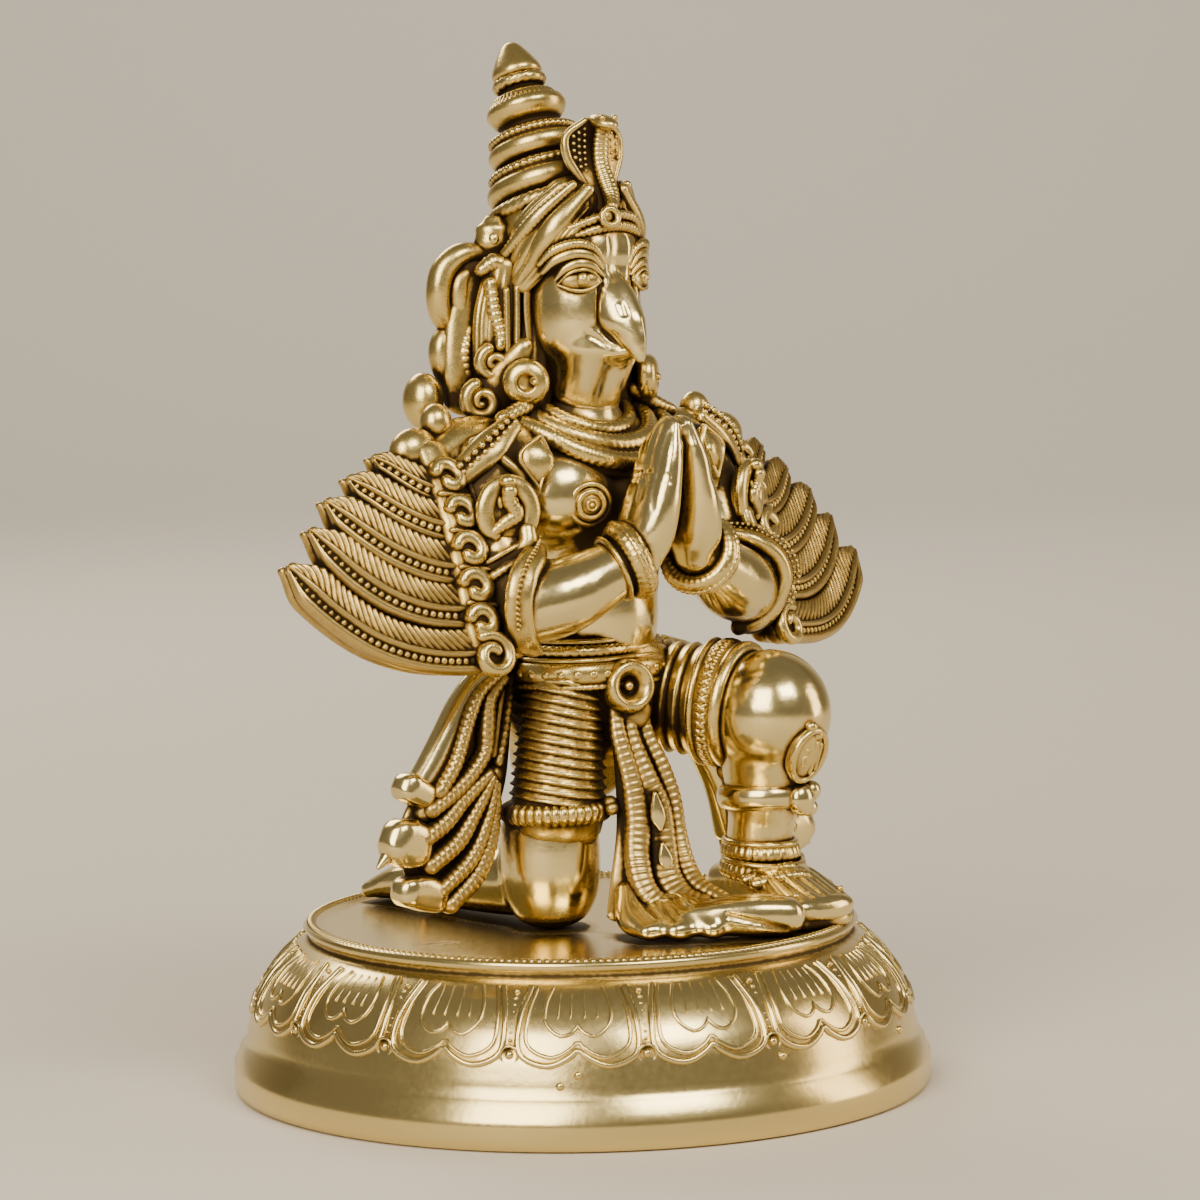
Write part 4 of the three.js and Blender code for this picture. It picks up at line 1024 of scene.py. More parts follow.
tail = cast_whole([
    *[strand(line, wide, deep, UP, 28, 0.4) for line, wide, deep in (
        ([(-6.6, -17.0, 29.4), (-8.2, -20.6, 26.8), (-8.6, -24.8, 25.7)], [1.8, 2.6, 2.4],
         [2.6, 2.2, 1.4]),
        ([(-4.4, -19.2, 28.6), (-5.2, -23.6, 26.9), (-5.6, -27.6, 25.8)], [2.2, 2.9, 2.6],
         [2.4, 2.4, 1.5]),
        ([(-2.4, -21.6, 28.0), (-2.4, -26.2, 27.2), (-1.8, -30.2, 25.9)], [2.2, 2.7, 2.4],
         [2.6, 2.6, 1.6]))],
    strand([(-3.0, -26.6, 26.9), (1.0, -29.7, 27.2), (4.6, -32.4, 27.2), (7.8, -34.7, 27.0)],
           [2.5, 3.2, 3.5, 3.1], [2.2, 2.7, 3.0, 2.8], UP, 40, 0.3, 2.6),
], 0.34, 1.3)
creases = [[(-0.9, -32.2, 27.8), (2.6, -34.9, 26.6), (5.6, -37.0, 25.4)],
           [(-0.6, -28.0, 29.4), (3.0, -30.8, 29.6)], [(-6.6, -20.2, 29.0), (-7.4, -24.4, 27.2)],
           [(-3.4, -23.2, 29.2), (-3.8, -27.0, 28.0)]]
piece("sash_rolled_tail", [chased(tail, creases, 0.6, 0.45)], buffed_brass)

# Side drapery.
# A gathered end of the cloth hangs at each hip: a smooth pale band outside, a fan of notched strands
# within, and three heavy hem blocks, all one flat casting. The left one is spread wider and hangs lower.
FAN_Y = -1.5
FAN_TOP = 60


def drapery(side):
    """The smooth bands, the notched cloth and the hem blocks of one side."""
    def at(x, z, y=FAN_Y):
        if side == RIGHT:
            return (side * x, y, z)
        spread, drop = min(max((FAN_TOP - z) / 14, 0), 1), min(max((FAN_TOP - z) / 20, 0), 1)
        return (x + (9 - 0.1 * (x - 18)) * spread, y, z - 5.9 * drop + 0.3 * max(36 - z, 0))
    outer = strand([at(15.0, 63.2, -2.4), at(20.6, 61.0, -2.2), at(23.8, 57.4), at(26.6, 53.2),
                    at(29.4, 49.2), at(31.6, 46.6)], [1.3, 1.7, 1.8, 2.0, 2.1, 2.0],
                   [1.4, 1.6, 1.7, 1.8, 1.8, 1.7], FRONT, 20, 0.5)
    fan = [strand([at(*spot, -3.2) for spot in line], wide, 1.5, FRONT, 16, 0.2, 2.5, relief=cut_across)
           for line, wide in (
        (((18.4, 61.4), (21.8, 59.2), (23.6, 56.2), (25.0, 53.0), (26.6, 49.4), (29.6, 45.6)),
         [0.9, 1.0, 1.1, 1.1, 1.2, 1.2]),
        (((17.4, 60.8), (19.9, 58.2), (20.5, 53.9), (21.0, 50.6), (23.2, 48.0), (26.4, 45.6),
          (31.0, 43.2)), [0.9, 1.2, 1.3, 1.2, 1.2, 1.3, 1.2]),
        (((20.4, 47.4), (22.4, 46.0), (25.5, 43.8), (28.6, 41.2), (32.4, 39.2)),
         [0.8, 1.1, 1.3, 1.4, 1.3]),
        (((19.9, 46.8), (21.0, 45.0), (23.6, 41.4), (26.1, 38.4), (31.2, 35.4)),
         [0.7, 1.0, 1.2, 1.4, 1.3]),
        (((19.5, 46.2), (20.1, 43.0), (21.7, 39.0), (24.1, 35.4), (29.4, 31.8)),
         [0.6, 0.9, 1.1, 1.3, 1.2]),
        (((19.1, 45.8), (19.4, 42.0), (20.4, 37.6), (22.6, 33.4), (27.8, 29.4)),
         [0.6, 1.0, 1.3, 1.5, 1.3]))]
    back = [
        strand([at(14.4, 62, -0.4), at(19.6, 55.4, -0.6), at(23.4, 47.4, -0.6), at(27.4, 38.4, -0.6),
                at(28.6, 31.6, -0.6)], [1.6, 3.4, 4.6, 7.4, 4.4], [1.6, 1.7, 1.7, 1.7, 1.5], FRONT, 24,
               0.7),
        strand([at(14.2, 62, -0.6), at(16.2, 54, -0.8), at(17.6, 46, -1), at(19.4, 39, -1)],
               [1.6, 2.2, 2.2, 0.9], 1.7, FRONT, 20, 0.5),
    ]
    inner = [strand([at(15.4, 60.6, -2.6), at(16.6, 54.6, -3.0), at(18.2, 48.8, -3.0)], 0.8, 1.1, FRONT,
                    16, 0.18, relief=notched(1.1, 0.24)),
             strand([at(17.2, 59.0, -2.8), at(18.4, 54.2, -3.0), at(19.2, 50.0, -3.0)], 0.6, 0.9, FRONT,
                    12, 0.3), bead(at(18.6, 47.0, -2.6), (1.3, 1.4, 1.4), FRONT, 20)]
    hems = [strand([at(*spot, FAN_Y - 0.4) for spot in line], wide, deep, FRONT, 32, 0.3, 3.4)
            for line, wide, deep in ((((34.0, 46.6), (31.4, 45.2)), [2.1, 1.9], 2.3),
                                     (((35.9, 39.4), (34.6, 38.8), (32.8, 38.4)), [3.1, 3.6, 3.3], 2.6),
                                     (((34.4, 31.9), (32.0, 31.5), (29.8, 30.8)), [2.2, 2.6, 2.4], 2.4))]
    hems.append(strand([at(37.2, 37.4), at(39.2, 35.8)], [1.2, 0.3], [1.2, 0.3], FRONT, 14, 0.3))
    hems.append(strand([at(31.6, 42.6, -2.2), at(31.2, 43.8, -2.4)], 1.3, 1.3, FRONT, 16, 0.3))
    return [outer, *back], fan + inner, hems


for side, name in ((RIGHT, "right"), (LEFT, "left")):
    plain, notched_cloth, hems = drapery(side)
    piece(f"{name}_drapery_bands", plain, buffed_brass)
    piece(f"{name}_drapery_fan", notched_cloth, aged_brass)
    piece(f"{name}_drapery_hem_blocks", hems, buffed_brass)

# Wings.
# Five feathers a side, each cast as one bar with a rounded flank, a beaded groove, a bright rim and
# a blade with slanting barbs, and each lapping the one below. A column of curls covers the roots.
BACK = (0, 1, 0)
WING_ROOT = 29
WING_LEVEL = 78
SAG = 0.17


def wing_point(side, x, z, lift=0.0):
    """A point of the wing's front skin, `lift` mm proud of it; the left wing hangs lower at its tip."""
    out, up = x - WING_ROOT, z - WING_LEVEL
    y = -8.9 + 0.24 * out + 0.30 * up + 0.012 * max(up, 0) ** 2
    height = z - (SAG * max(out, 0) if side == LEFT else 0)
    return (side * x, y - lift, height)


# Each feather: its lower and upper edge as (distance from the middle, height) on the skin.
FEATHERS = [
    ([(27, 63.4), (33, 63.3), (39.5, 64.2), (45.6, 66.6), (51.2, 70.8), (54.2, 74.4), (55.4, 77.6)],
     [(27, 69.4), (33, 69.0), (38.4, 69.8), (43.4, 72.0), (47.6, 75.6), (50.4, 78.6), (53.6, 79.6)]),
    ([(27, 69.2), (32.6, 69.4), (37.6, 70.2), (42.2, 72.2), (46.6, 75.6), (49.6, 79.4), (51.0, 82.6)],
     [(27, 75.0), (32.0, 75.2), (36.0, 76.0), (40.0, 78.0), (43.6, 80.8), (46.4, 83.2), (49.2, 84.0)]),
    ([(27, 74.9), (32.0, 75.3), (36.2, 76.4), (40.4, 78.6), (44.2, 81.6), (46.6, 84.4), (47.4, 86.4)],
     [(27, 80.8), (31.4, 81.0), (34.6, 82.0), (38.2, 84.0), (41.0, 86.2), (43.4, 87.6), (45.6, 87.8)]),
    ([(26.6, 80.4), (31.2, 81.2), (34.6, 82.4), (38.0, 84.4), (40.6, 86.6), (42.2, 88.2), (42.8, 89.4)],
     [(26.6, 85.6), (30.6, 86.4), (33.2, 87.2), (35.8, 88.8), (37.8, 90.2), (39.6, 90.8), (41.2, 90.8)]),
    ([(26.4, 85.4), (30.2, 86.4), (32.6, 87.4), (34.8, 89.0), (36.4, 90.4), (37.4, 91.4), (37.8, 92.2)],
     [(26.4, 89.8), (29.6, 90.6), (31.4, 91.2), (33.2, 92.2), (34.6, 93.0), (35.6, 93.4), (36.6, 93.4)]),
]
# Outline across a feather, from the lower edge (-1) to the upper (1); the height is in half depths.
feather_section = [(-1.0, 0.0), (-0.98, 0.42), (-0.86, 0.72), (-0.72, 0.84), (-0.62, 0.72), (-0.56, 0.50),
                   (-0.36, 0.48), (-0.30, 0.62), (-0.24, 0.98), (-0.14, 1.08), (-0.04, 0.98), (0.0, 0.66),
                   *((u, 0.76 - 0.2 * u ** 3) for u in np.linspace(0.05, 0.93, 14)), (1.0, 0.1), (1.0, -0.3),
                   (0.7, -0.55), (0.0, -0.7), (-0.6, -0.62), (-0.92, -0.4)]
BARB_PITCH = 1.2


def barbed(upward, high):
    """Relief of slanting cuts across a feather's blade, which end short of its rim."""
    blade = (upward > 0.03) & (upward < 0.97) & (high > 0.4)

    def relief(run, angle, length):
        phase = (run - 3.2 * upward[None, :]) / BARB_PITCH
        cut = (1 - np.abs(np.sin(math.pi * phase)) ** 0.7) * np.clip((length - run) / 2, 0, 1)
        return -0.5 * cut * blade[None, :]
    return relief


for side, name in ((RIGHT, "right"), (LEFT, "left")):
    plates, bead_rows, backs = [], [], []
    section = np.array(feather_section if side == RIGHT else [(-u, v) for u, v in feather_section[::-1]])
    aims = np.linspace((side * 0.05, -1, 0.25), (side * 0.15, -1, 0.25), 7)
    for index, (low, high) in enumerate(FEATHERS):
        lower = np.array([wing_point(side, x, z) for x, z in low])
        upper = np.array([wing_point(side, x, z) for x, z in high])
        middle = (lower + upper) / 2
        half = np.linalg.norm(upper - lower, axis=1) / 2
        thick = np.array([1.7, 1.8, 1.9, 1.8, 1.7, 1.5, 0.9]) * (1 - 0.05 * index)
        plates.append(strand(middle - [0, 0.4, 0], half * 1.1 * [1, 1, 1, 1, 1, 1, 0.7], thick, aims,
                             step=0.21, section=section,
                             relief=barbed(section[:, 0] * -side, section[:, 1])))
        groove = lower + (upper - lower) * 0.26 + [0, -1, 0.2] * (thick[:, None] * 0.6)
        bead_rows.append((groove, (side * 0.05, -1, 0.25), [1, 1, 1, 1, 0.9, 0.75, 0.6]))
        backs.append(strand(middle + [0, 1.6, -0.4], half * [1, 1, 1, 1, 1, 1, 0.5],
                            [2.0, 2.0, 1.9, 1.8, 1.6, 1.3, 0.8], BACK, 18, 0.8))
    piece(f"{name}_wing_feathers", plates, aged_brass)
    piece(f"{name}_wing_back", backs, aged_brass)
    row(f"{name}_wing_beads", bead_rows, 1.12, 0.62, 0.8, 0.66)


def curl_column(side):
    """Curls with small bars between them, a scroll at the foot, a double line and the wing's root."""
    made = []
    for x, z, size in ((28.7, 90.0, 1.0), (28.6, 85.0, 1.0), (29.0, 80.0, 1.05), (29.3, 75.0, 1.05),
                       (29.4, 70.2, 1.0)):
        path = []
        for t in np.linspace(0, 1, 14):
            turn = 0.4 + t * 5.4
            radius = size * (1.95 - t)
            path.append(wing_point(side, x + radius * math.cos(turn), z + radius * math.sin(turn), 2.3))
        made.append(strand(path, [0.8, *[1.0] * 12, 0.7], 1.1, (0, -1, 0.2), 12, 0.3, 3.4))
    for z in (87.5, 82.5, 77.5, 72.6):
        made.append(strand([wing_point(side, 26.9, z - 0.3, 2.2), wing_point(side, 30.9, z + 0.3, 2.2)],
                           0.45, 0.7, (0, -1, 0.2), 10, 0.3))
    scroll = []
    for t in np.linspace(0, 1, 18):
        turn = 1.2 + t * 7.6
        radius = 2.9 - 2.0 * t
        scroll.append(wing_point(side, 29.0 + radius * math.cos(turn), 65.6 + radius * math.sin(turn), 2.4))
    made.append(strand(scroll, [0.9, *[0.95] * 16, 0.7], 1.1, (0, -1, 0.1), 12, 0.32))
    for x in (25.8, 24.7):
        made.append(strand([wing_point(side, x, z, 1.9) for z in (91.5, 84, 76, 68)], 0.32, 0.6,
                           (0, -1, 0.2), 8, 0.4))
    return [
        *made,
        strand([wing_point(side, 28.4, z, 0.4) for z in (93.5, 86, 78, 70, 64.4)],
               [2.6, 3.2, 3.4, 3.4, 2.8], [1.5, 1.9, 2.0, 2.0, 1.8], (0, -1, 0.2), 24, 0.5),
        strand([wing_point(side, 23.6, z, -1.4) for z in (96, 90, 82, 74, 66)], [2.4, 4.4, 5.0, 4.8, 3.6],
               [1.8, 2.2, 2.4, 2.2, 1.6], (0, -1, 0.2), 28, 0.5),
        bead((side * 29.8, 0.2, 93.2), (4.0, 2.8, 3.6), FRONT, 32),
        bead((side * 25.2, 0.8, 97.2), (2.4, 2.2, 2.8), FRONT, 28),
        strand(sided(side, (14, 1.2, 94.4), (21, 0.6, 94.6), (28, -1, 91.6)), [3.4, 3.8, 2.6],
               [3.2, 3.2, 2.6], UP, 24, 0.5),
    ]


for side, name in ((RIGHT, "right"), (LEFT, "left")):
    piece(f"{name}_wing_root_and_curls", curl_column(side), figure_brass)

# Head.
# A bird's face, cast with the neck and buffed: a smooth cheek, a hooked beak with its mouth line and
# nostrils chased in, and almond eyes under raised brows.


def full_cheeked(polar, angle):
    """Relief that fills out a rounded boss above and below its middle."""
    return 0.07 * np.sin(2 * polar) ** 2


head = [
    bead((0, -2.4, 112.9), (8.5, 8.6, 10.2), around=64, relief=full_cheeked),
    bead((0, 2.6, 117), (8.6, 8.0, 9.6), around=48),
    bead((0, -4.4, 121.0), (7.8, 6.2, 6.4), around=48),
    strand([(0, -7.0, 107.5), (0, -10.6, 107.1), (0, -13.1, 106.9)], [4.6, 3.4, 1.2], [2.4, 2.0, 0.9], UP,
           32, 0.4),
    strand([(0, -5.0, 108), (0, -3.8, 104.4), (0, -1.9, 100.6)], [7.0, 6.2, 6.0], [6.2, 5.6, 5.5], FRONT,
           48, 0.5, ends="round-flat"),
]


def sliced(levels, around, step):
    """A form of level slices, sharp in front: each is (middle y, height, half width, half depth)."""
    rows = spline(np.array([(0, *level) for level in levels]), step)[0]
    angle = np.arange(around) * 2 * math.pi / around
    power = np.where(np.cos(angle) > 0, 1.3, 0.9)
    x = rows[:, 3:4] * np.sign(np.sin(angle)) * np.abs(np.sin(angle)) ** power
    y = rows[:, 1:2] - rows[:, 4:5] * np.sign(np.cos(angle)) * np.abs(np.cos(angle)) ** power
    place = np.stack([x, y, np.broadcast_to(rows[:, 2:3], x.shape)], 2)[1:-1].reshape(-1, 3)
    place = np.vstack([place, rows[0, :3], rows[-1, :3]])
    return outward(place, *ring_faces(len(rows) - 2, around))


beak = sliced([(-8.3, 120.6, 0.4, 0.4), (-8.6, 119.0, 0.9, 1.0), (-8.8, 117.6, 1.7, 1.6),
               (-9.3, 116.2, 2.6, 2.6), (-9.9, 113.8, 3.4, 3.7), (-10.3, 111.6, 3.6, 4.6),
               (-11.0, 110.1, 3.2, 4.3), (-12.2, 108.8, 2.3, 3.4), (-13.5, 107.3, 1.6, 2.1),
               (-14.3, 106.0, 1.0, 1.2), (-14.9, 105.0, 0.3, 0.3)], 66, 0.28)
face = cast_whole(head, 0.42, 2.4)
root, cheek, mouth = [[(0, -10.6, 122.6), (0, -10.6, 120.8), (0, -10.4, 118.6)]], [], []
nostrils = []
for side in (RIGHT, LEFT):
    cheek.append(sided(side, (2.9, -10.2, 117.0), (3.5, -10.5, 115), (3.7, -10.6, 112.8),
                       (3.8, -10.6, 111.0)))
    mouth.append(sided(side, (4.2, -10.8, 110.6), (3.2, -11.9, 109.3), (2.2, -13.0, 107.8)))
    mouth.append(sided(side, (5.2, -9.8, 109.2), (4.0, -11.2, 108.2), (2.4, -12.4, 107.0)))
    nostrils.append([(side * 1.9, -12.6, 113.3), (side * 1.4, -13.1, 111.7)])
face = chased(face, root, 2.0, 0.6)
face = chased(chased(face, cheek, 0.6, 0.8), mouth, 0.5, 0.35)
piece("face_and_beak", [face, chased(beak, nostrils, 0.55, 0.4)], buffed_brass)


def eye(side):
    """An almond of two lids round a ball with a ringed pupil, and a hatched brow above."""
    facing = (side * 0.66, -1, 0.04)
    middle = np.array([side * 6.2, -8.3, 117.4])
    across, _, aim = plane_of(facing)
    across = -side * across

    def on(x, z, lift=0.0):
        away = 0.055 * x ** 2
        return middle + x * across + z * np.array(UP) + (lift - away) * aim
    upper = [on(-3.5, -0.5, 0.2), on(-2.2, 0.7, 0.5), on(-0.6, 1.0, 0.7), on(1.2, 0.5, 0.6),
             on(2.8, -1.0, 0.3)]
    lower = [on(-3.5, -0.7, 0.2), on(-2.2, -1.6, 0.4), on(-0.6, -2.0, 0.5), on(1.0, -1.8, 0.5),
             on(2.8, -1.1, 0.3)]
    lid = [on(-3.7, 0.3, 0.1), on(-2.2, 1.55, 0.4), on(-0.3, 1.9, 0.6), on(1.6, 1.2, 0.5),
           on(3.1, -0.4, 0.3)]
    fold = [on(-3.8, 1.2, 0.1), on(-2.2, 2.85, 0.3), on(0.2, 3.3, 0.5), on(3.0, 2.4, 0.5), on(4.8, 0.7, 0.3)]
    brow = [on(-4.2, 2.0, 0.1), on(-2.5, 4.1, 0.3), on(0.2, 4.7, 0.5), on(3.2, 3.8, 0.5), on(5.2, 1.9, 0.4)]
    return [
        bead(on(-0.4, -0.5, -0.5), (3.2, 1.3, 1.7), facing, 28, across=across),
        bead(on(-0.8, -0.35, 0.6), (1.0, 0.75, 1.0), facing, 20, across=across),
        bead(on(-0.8, -0.35, 1.35), (0.35, 0.25, 0.35), facing, 12, across=across),
        strand(upper, [0.15, 0.26, 0.3, 0.26, 0.15], 0.5, facing, 10, 0.25),
        strand(lower, [0.15, 0.26, 0.3, 0.26, 0.15], 0.45, facing, 10, 0.25),
        strand(lid, [0.25, 0.55, 0.6, 0.55, 0.2], [0.4, 0.45, 0.5, 0.45, 0.4], facing, 16, 0.25, 2.6),
        strand(fold, [0.25, 0.6, 0.7, 0.65, 0.3], [0.4, 0.5, 0.5, 0.5, 0.4], facing, 16, 0.25, 2.4),
        strand(brow, [0.25, 0.6, 0.7, 0.7, 0.4], [0.4, 0.6, 0.7, 0.6, 0.4], facing, 16, 0.13,
               relief=notched(0.6, 0.2, 0.5, 0.4)),
    ]


piece("eyes_and_brows", both(eye), figure_brass)

# Crown.
# A tall stacked crown over a netted cap: two lipped discs, a bulb and a cone, with a rope ring at the
# foot and one under the cone. It leans back, and a hooded cobra rises in front of it.
CROWN_FOOT = (0, 4.5, 129.2)
CROWN_LEAN = 0.346
crown_profile = [(0, -11.6), (8.6, -10.6), (9.8, -8), (9.9, -5.5), (9.3, -3.2), (8.0, -2.2), (7.2, -0.9),
                 (8.2, -0.3), (8.8, 0.9), (8.6, 2.1), (7.7, 2.8), (7.5, 3.0), (8.1, 3.3), (8.0, 4.0),
                 (6.8, 4.5), (5.2, 4.8), (6.5, 5.2), (7.2, 6.4), (7.1, 7.5), (6.4, 8.1), (6.1, 8.3),
                 (6.8, 8.6), (6.7, 9.3), (5.5, 9.8), (3.9, 10.3), (4.0, 10.7), (5.3, 11.6), (6.0, 13.0),
                 (5.6, 14.1), (4.9, 14.6), (4.5, 15.3), (3.0, 15.9), (2.8, 16.8), (2.9, 17.9), (3.7, 18.4),
                 (3.7, 19.3), (2.7, 21.2), (1.4, 23.1), (0.6, 23.6), (0, 23.6)]


def crown_relief(angle, height, radius):
    """Notched lips on the discs and the bulb, and a net on the cap."""
    cuts = -0.36 * (1 - np.abs(np.sin(22 * angle)) ** 0.45)
    lips = sum(np.exp(-((height - z) / w) ** 2) for z, w in ((3.7, 0.6), (9.0, 0.6), (14.6, 0.6)))
    net = sum(np.abs(np.sin(11 * angle + way * 1.1 * height)) ** 0.3 - 1 for way in (1, -1))
    return cuts * np.clip(lips, 0, 1) + 0.25 * net * np.exp(-((height + 6.5) / 3.0) ** 4)


piece("stacked_crown", [turned(crown_profile, 176, CROWN_FOOT, CROWN_LEAN, 0.35, crown_relief)],
      figure_brass)


def crown_ring(height, radius):
    """A ring round the crown's axis and the way each point of it faces."""
    turns = np.linspace(0, 2 * math.pi, 61)
    aims = np.stack([np.sin(turns), -np.cos(turns), 0 * turns], 1)
    line = aims * radius + [0, 0, height]
    tilt = leaning(CROWN_LEAN).T
    return line @ tilt + CROWN_FOOT, aims @ tilt


ropes = []
for height, radius, thick in ((-2.3, 8.6, 1.25), (17.3, 3.1, 0.95)):
    line, aims = crown_ring(height, radius)
    ropes.append(strand(line, thick, thick, aims, 16, 0.2, relief=notched(1.15, 0.3, 0.9, 0.4)))
piece("crown_rope_rings", ropes, figure_brass)
cobra_face = (-0.1, -1, 0.0)
cobra = [
    strand([(0, -7.2, 127.0), (0, -6.2, 130.2), (0, -5.0, 134.0), (0, -4.8, 136.8), (0, -5.4, 139.2)],
           [1.6, 2.8, 4.9, 5.1, 2.2], [1.0, 1.0, 0.9, 0.9, 0.9], cobra_face, 36, 0.3),
    strand([(0, -7.4, 138.6), (0.2, -6.8, 136.2), (0.3, -6.7, 133.4), (0.5, -7.6, 130.8),
            (0.4, -8.6, 128.8), (-0.8, -10.0, 127.3)], [1.1, 1.3, 1.3, 1.4, 1.3, 0.9],
           [0.9, 0.9, 1.0, 1.1, 1.1, 0.9], cobra_face, 20, 0.14, relief=notched(0.7, 0.2, 0, 0.4)),
    bead((0, -7.6, 139.3), (1.8, 2.6, 1.1), (0, -1, -0.25), 28),
    bead((-1.2, -8.6, 139.9), (0.5, 0.6, 0.45), FRONT, 14),
    bead((1.2, -8.6, 139.9), (0.5, 0.6, 0.45), FRONT, 14),
    strand(ring_on((-2.2, -11.1, 125.8), (-0.4, -1, 0.2), 1.2), 0.5, 0.6, (-0.4, -1, 0.2), 12, 0.2),
    bead((-2.2, -10.7, 125.8), (1.0, 0.6, 1.0), FRONT, 16),
]
hood_rim = [strand(sided(side, (1.8, -7.0, 128.4), (3.2, -6.2, 131.2), (5.0, -5.4, 134.6),
                         (5.0, -5.2, 137.4), (2.2, -6.0, 139.6)), [0.4, 0.55, 0.6, 0.55, 0.4], 0.5,
                   cobra_face, 12, 0.2) for side in (RIGHT, LEFT)]
piece("crown_cobra", cobra + hood_rim, figure_brass)
dots = []
for side in (RIGHT, LEFT):
    for x in (2.0, 3.1, 4.1):
        low, high = 131.6 + (x - 2.0) * 1.3, 138.4 - (x - 2.0) * 0.5
        dots.append(([(side * x, -6.1, low), (side * x, -5.75, (low + high) / 2), (side * x, -5.8, high)],
                     cobra_face))
row("crown_cobra_dots", dots, 0.85, 0.3, 0.3, 0.28)

# Turban bands and brow bands.
# Bands sweep up from the temples to the crown, smooth ones between notched ones, and two notched rows
# lie along the forehead. Combed hair fills the spaces under them.


def combed(count, depth):
    """Relief of fine lines that run along a lock of hair."""
    def relief(run, angle, length):
        return depth * np.cos(count * angle) * np.clip(run / 2, 0, 1)
    return relief


def turban(side):
    """The combed hair of the temple, five bands over it, the cap's side and a thin lock."""
    bands = [strand(sided(side, (9.6, 1.0, 117.0), (7.9, -2.8, 123.4), (4.4, -5.6, 128.6)),
                    [3.0, 4.2, 3.4], [1.4, 2.0, 1.8],
                    [(side, -0.1, 0.1), (side * 0.8, -0.6, 0.3), (side * 0.4, -0.9, 0.4)], 60, 0.7,
                    relief=combed(15, 0.16))]
    outs = [(side, 0, 0.1), (side * 0.8, -0.6, 0.3), (side * 0.4, -0.9, 0.4)]
    for low, middle, high, wide, cut in (
        ((11.0, 1.6, 120.8), (9.4, -3.0, 125.6), (5.2, -6.6, 130.4), 1.15, notched(0.75, 0.24, 0.8, 0.4)),
        ((9.7, -0.6, 117.4), (8.5, -5.6, 124.2), (3.4, -7.9, 129.8), 1.6, None),
        ((9.1, -2.4, 117.8), (7.5, -6.3, 123.2), (3.4, -7.2, 128.2), 0.8, notched(0.6, 0.18, 0.5, 0.4)),
        ((8.6, -3.7, 119.2), (6.6, -7.0, 123.6), (3.2, -7.4, 127.0), 0.5, None),
        ((7.9, -5.0, 120.6), (5.8, -7.7, 123.8), (2.8, -8.2, 126.0), 0.6, notched(0.6, 0.18, 0.5, 0.4))):
        bands.append(strand([(side * low[0], *low[1:]), (side * middle[0], *middle[1:]),
                             (side * high[0], *high[1:])], [wide * 0.7, wide, wide * 0.6], [0.8, 1.0, 0.8],
                            outs, 14, 0.17, relief=cut))
    bands.append(bead((side * 3.2, -3.8, 127.6), (4.6, 3.8, 4.2), (side * 0.6, -1, 0.3), 32))
    bands.append(strand(sided(side, (8.9, -1.2, 118.6), (9.1, -0.9, 113.6), (8.7, -0.9, 108.4)), 0.45, 0.9,
                        (side, -0.3, 0), 12, 0.3))
    return bands


piece("turban_bands", both(turban), figure_brass)
brow_rows = []
for lift, bulge in ((0.0, 0.0), (1.5, 0.1)):
    half = [(0, -10.3 - bulge, 124.6 + lift), (3.4, -9.5 - bulge, 124.1 + lift),
            (6.4, -7.1 - bulge, 122.7 + lift)]
    outs = [(0, -1, 0.3), (0.4, -1, 0.3), (0.8, -0.8, 0.3)]
    brow_rows.append((mirrored(half), mirrored(outs)))
piece("forehead_bands", [strand(points, 0.72, 0.9, outs, 18, 0.14, relief=notched(0.8, 0.22, 0, 0.5))
                         for points, outs in brow_rows], figure_brass)

# Side locks, ear ornaments and shoulder curls.
# Notched side locks frame the face down to a domed disc at each ear; a thick ribbon loop holds a
# leaf, and its braid ends in two curls over an egg-shaped boss on the shoulder.


def spiral(centre, facing, radius, turns, wide, deep, sense):
    """A curl that winds in to a fifth of its radius."""
    across, up, _ = plane_of(facing)
    path = []
    for t in np.linspace(0, 1, int(14 * turns) + 4):
        turn = 0.4 + sense * t * turns * 2 * math.pi
        reach = radius * (1 - 0.8 * t)
        path.append(centre + reach * (math.sin(turn) * across + math.cos(turn) * up))
    sizes = np.linspace(1, 0.6, len(path))
    return strand(path, wide * sizes, deep * sizes, facing, 14, 0.22)


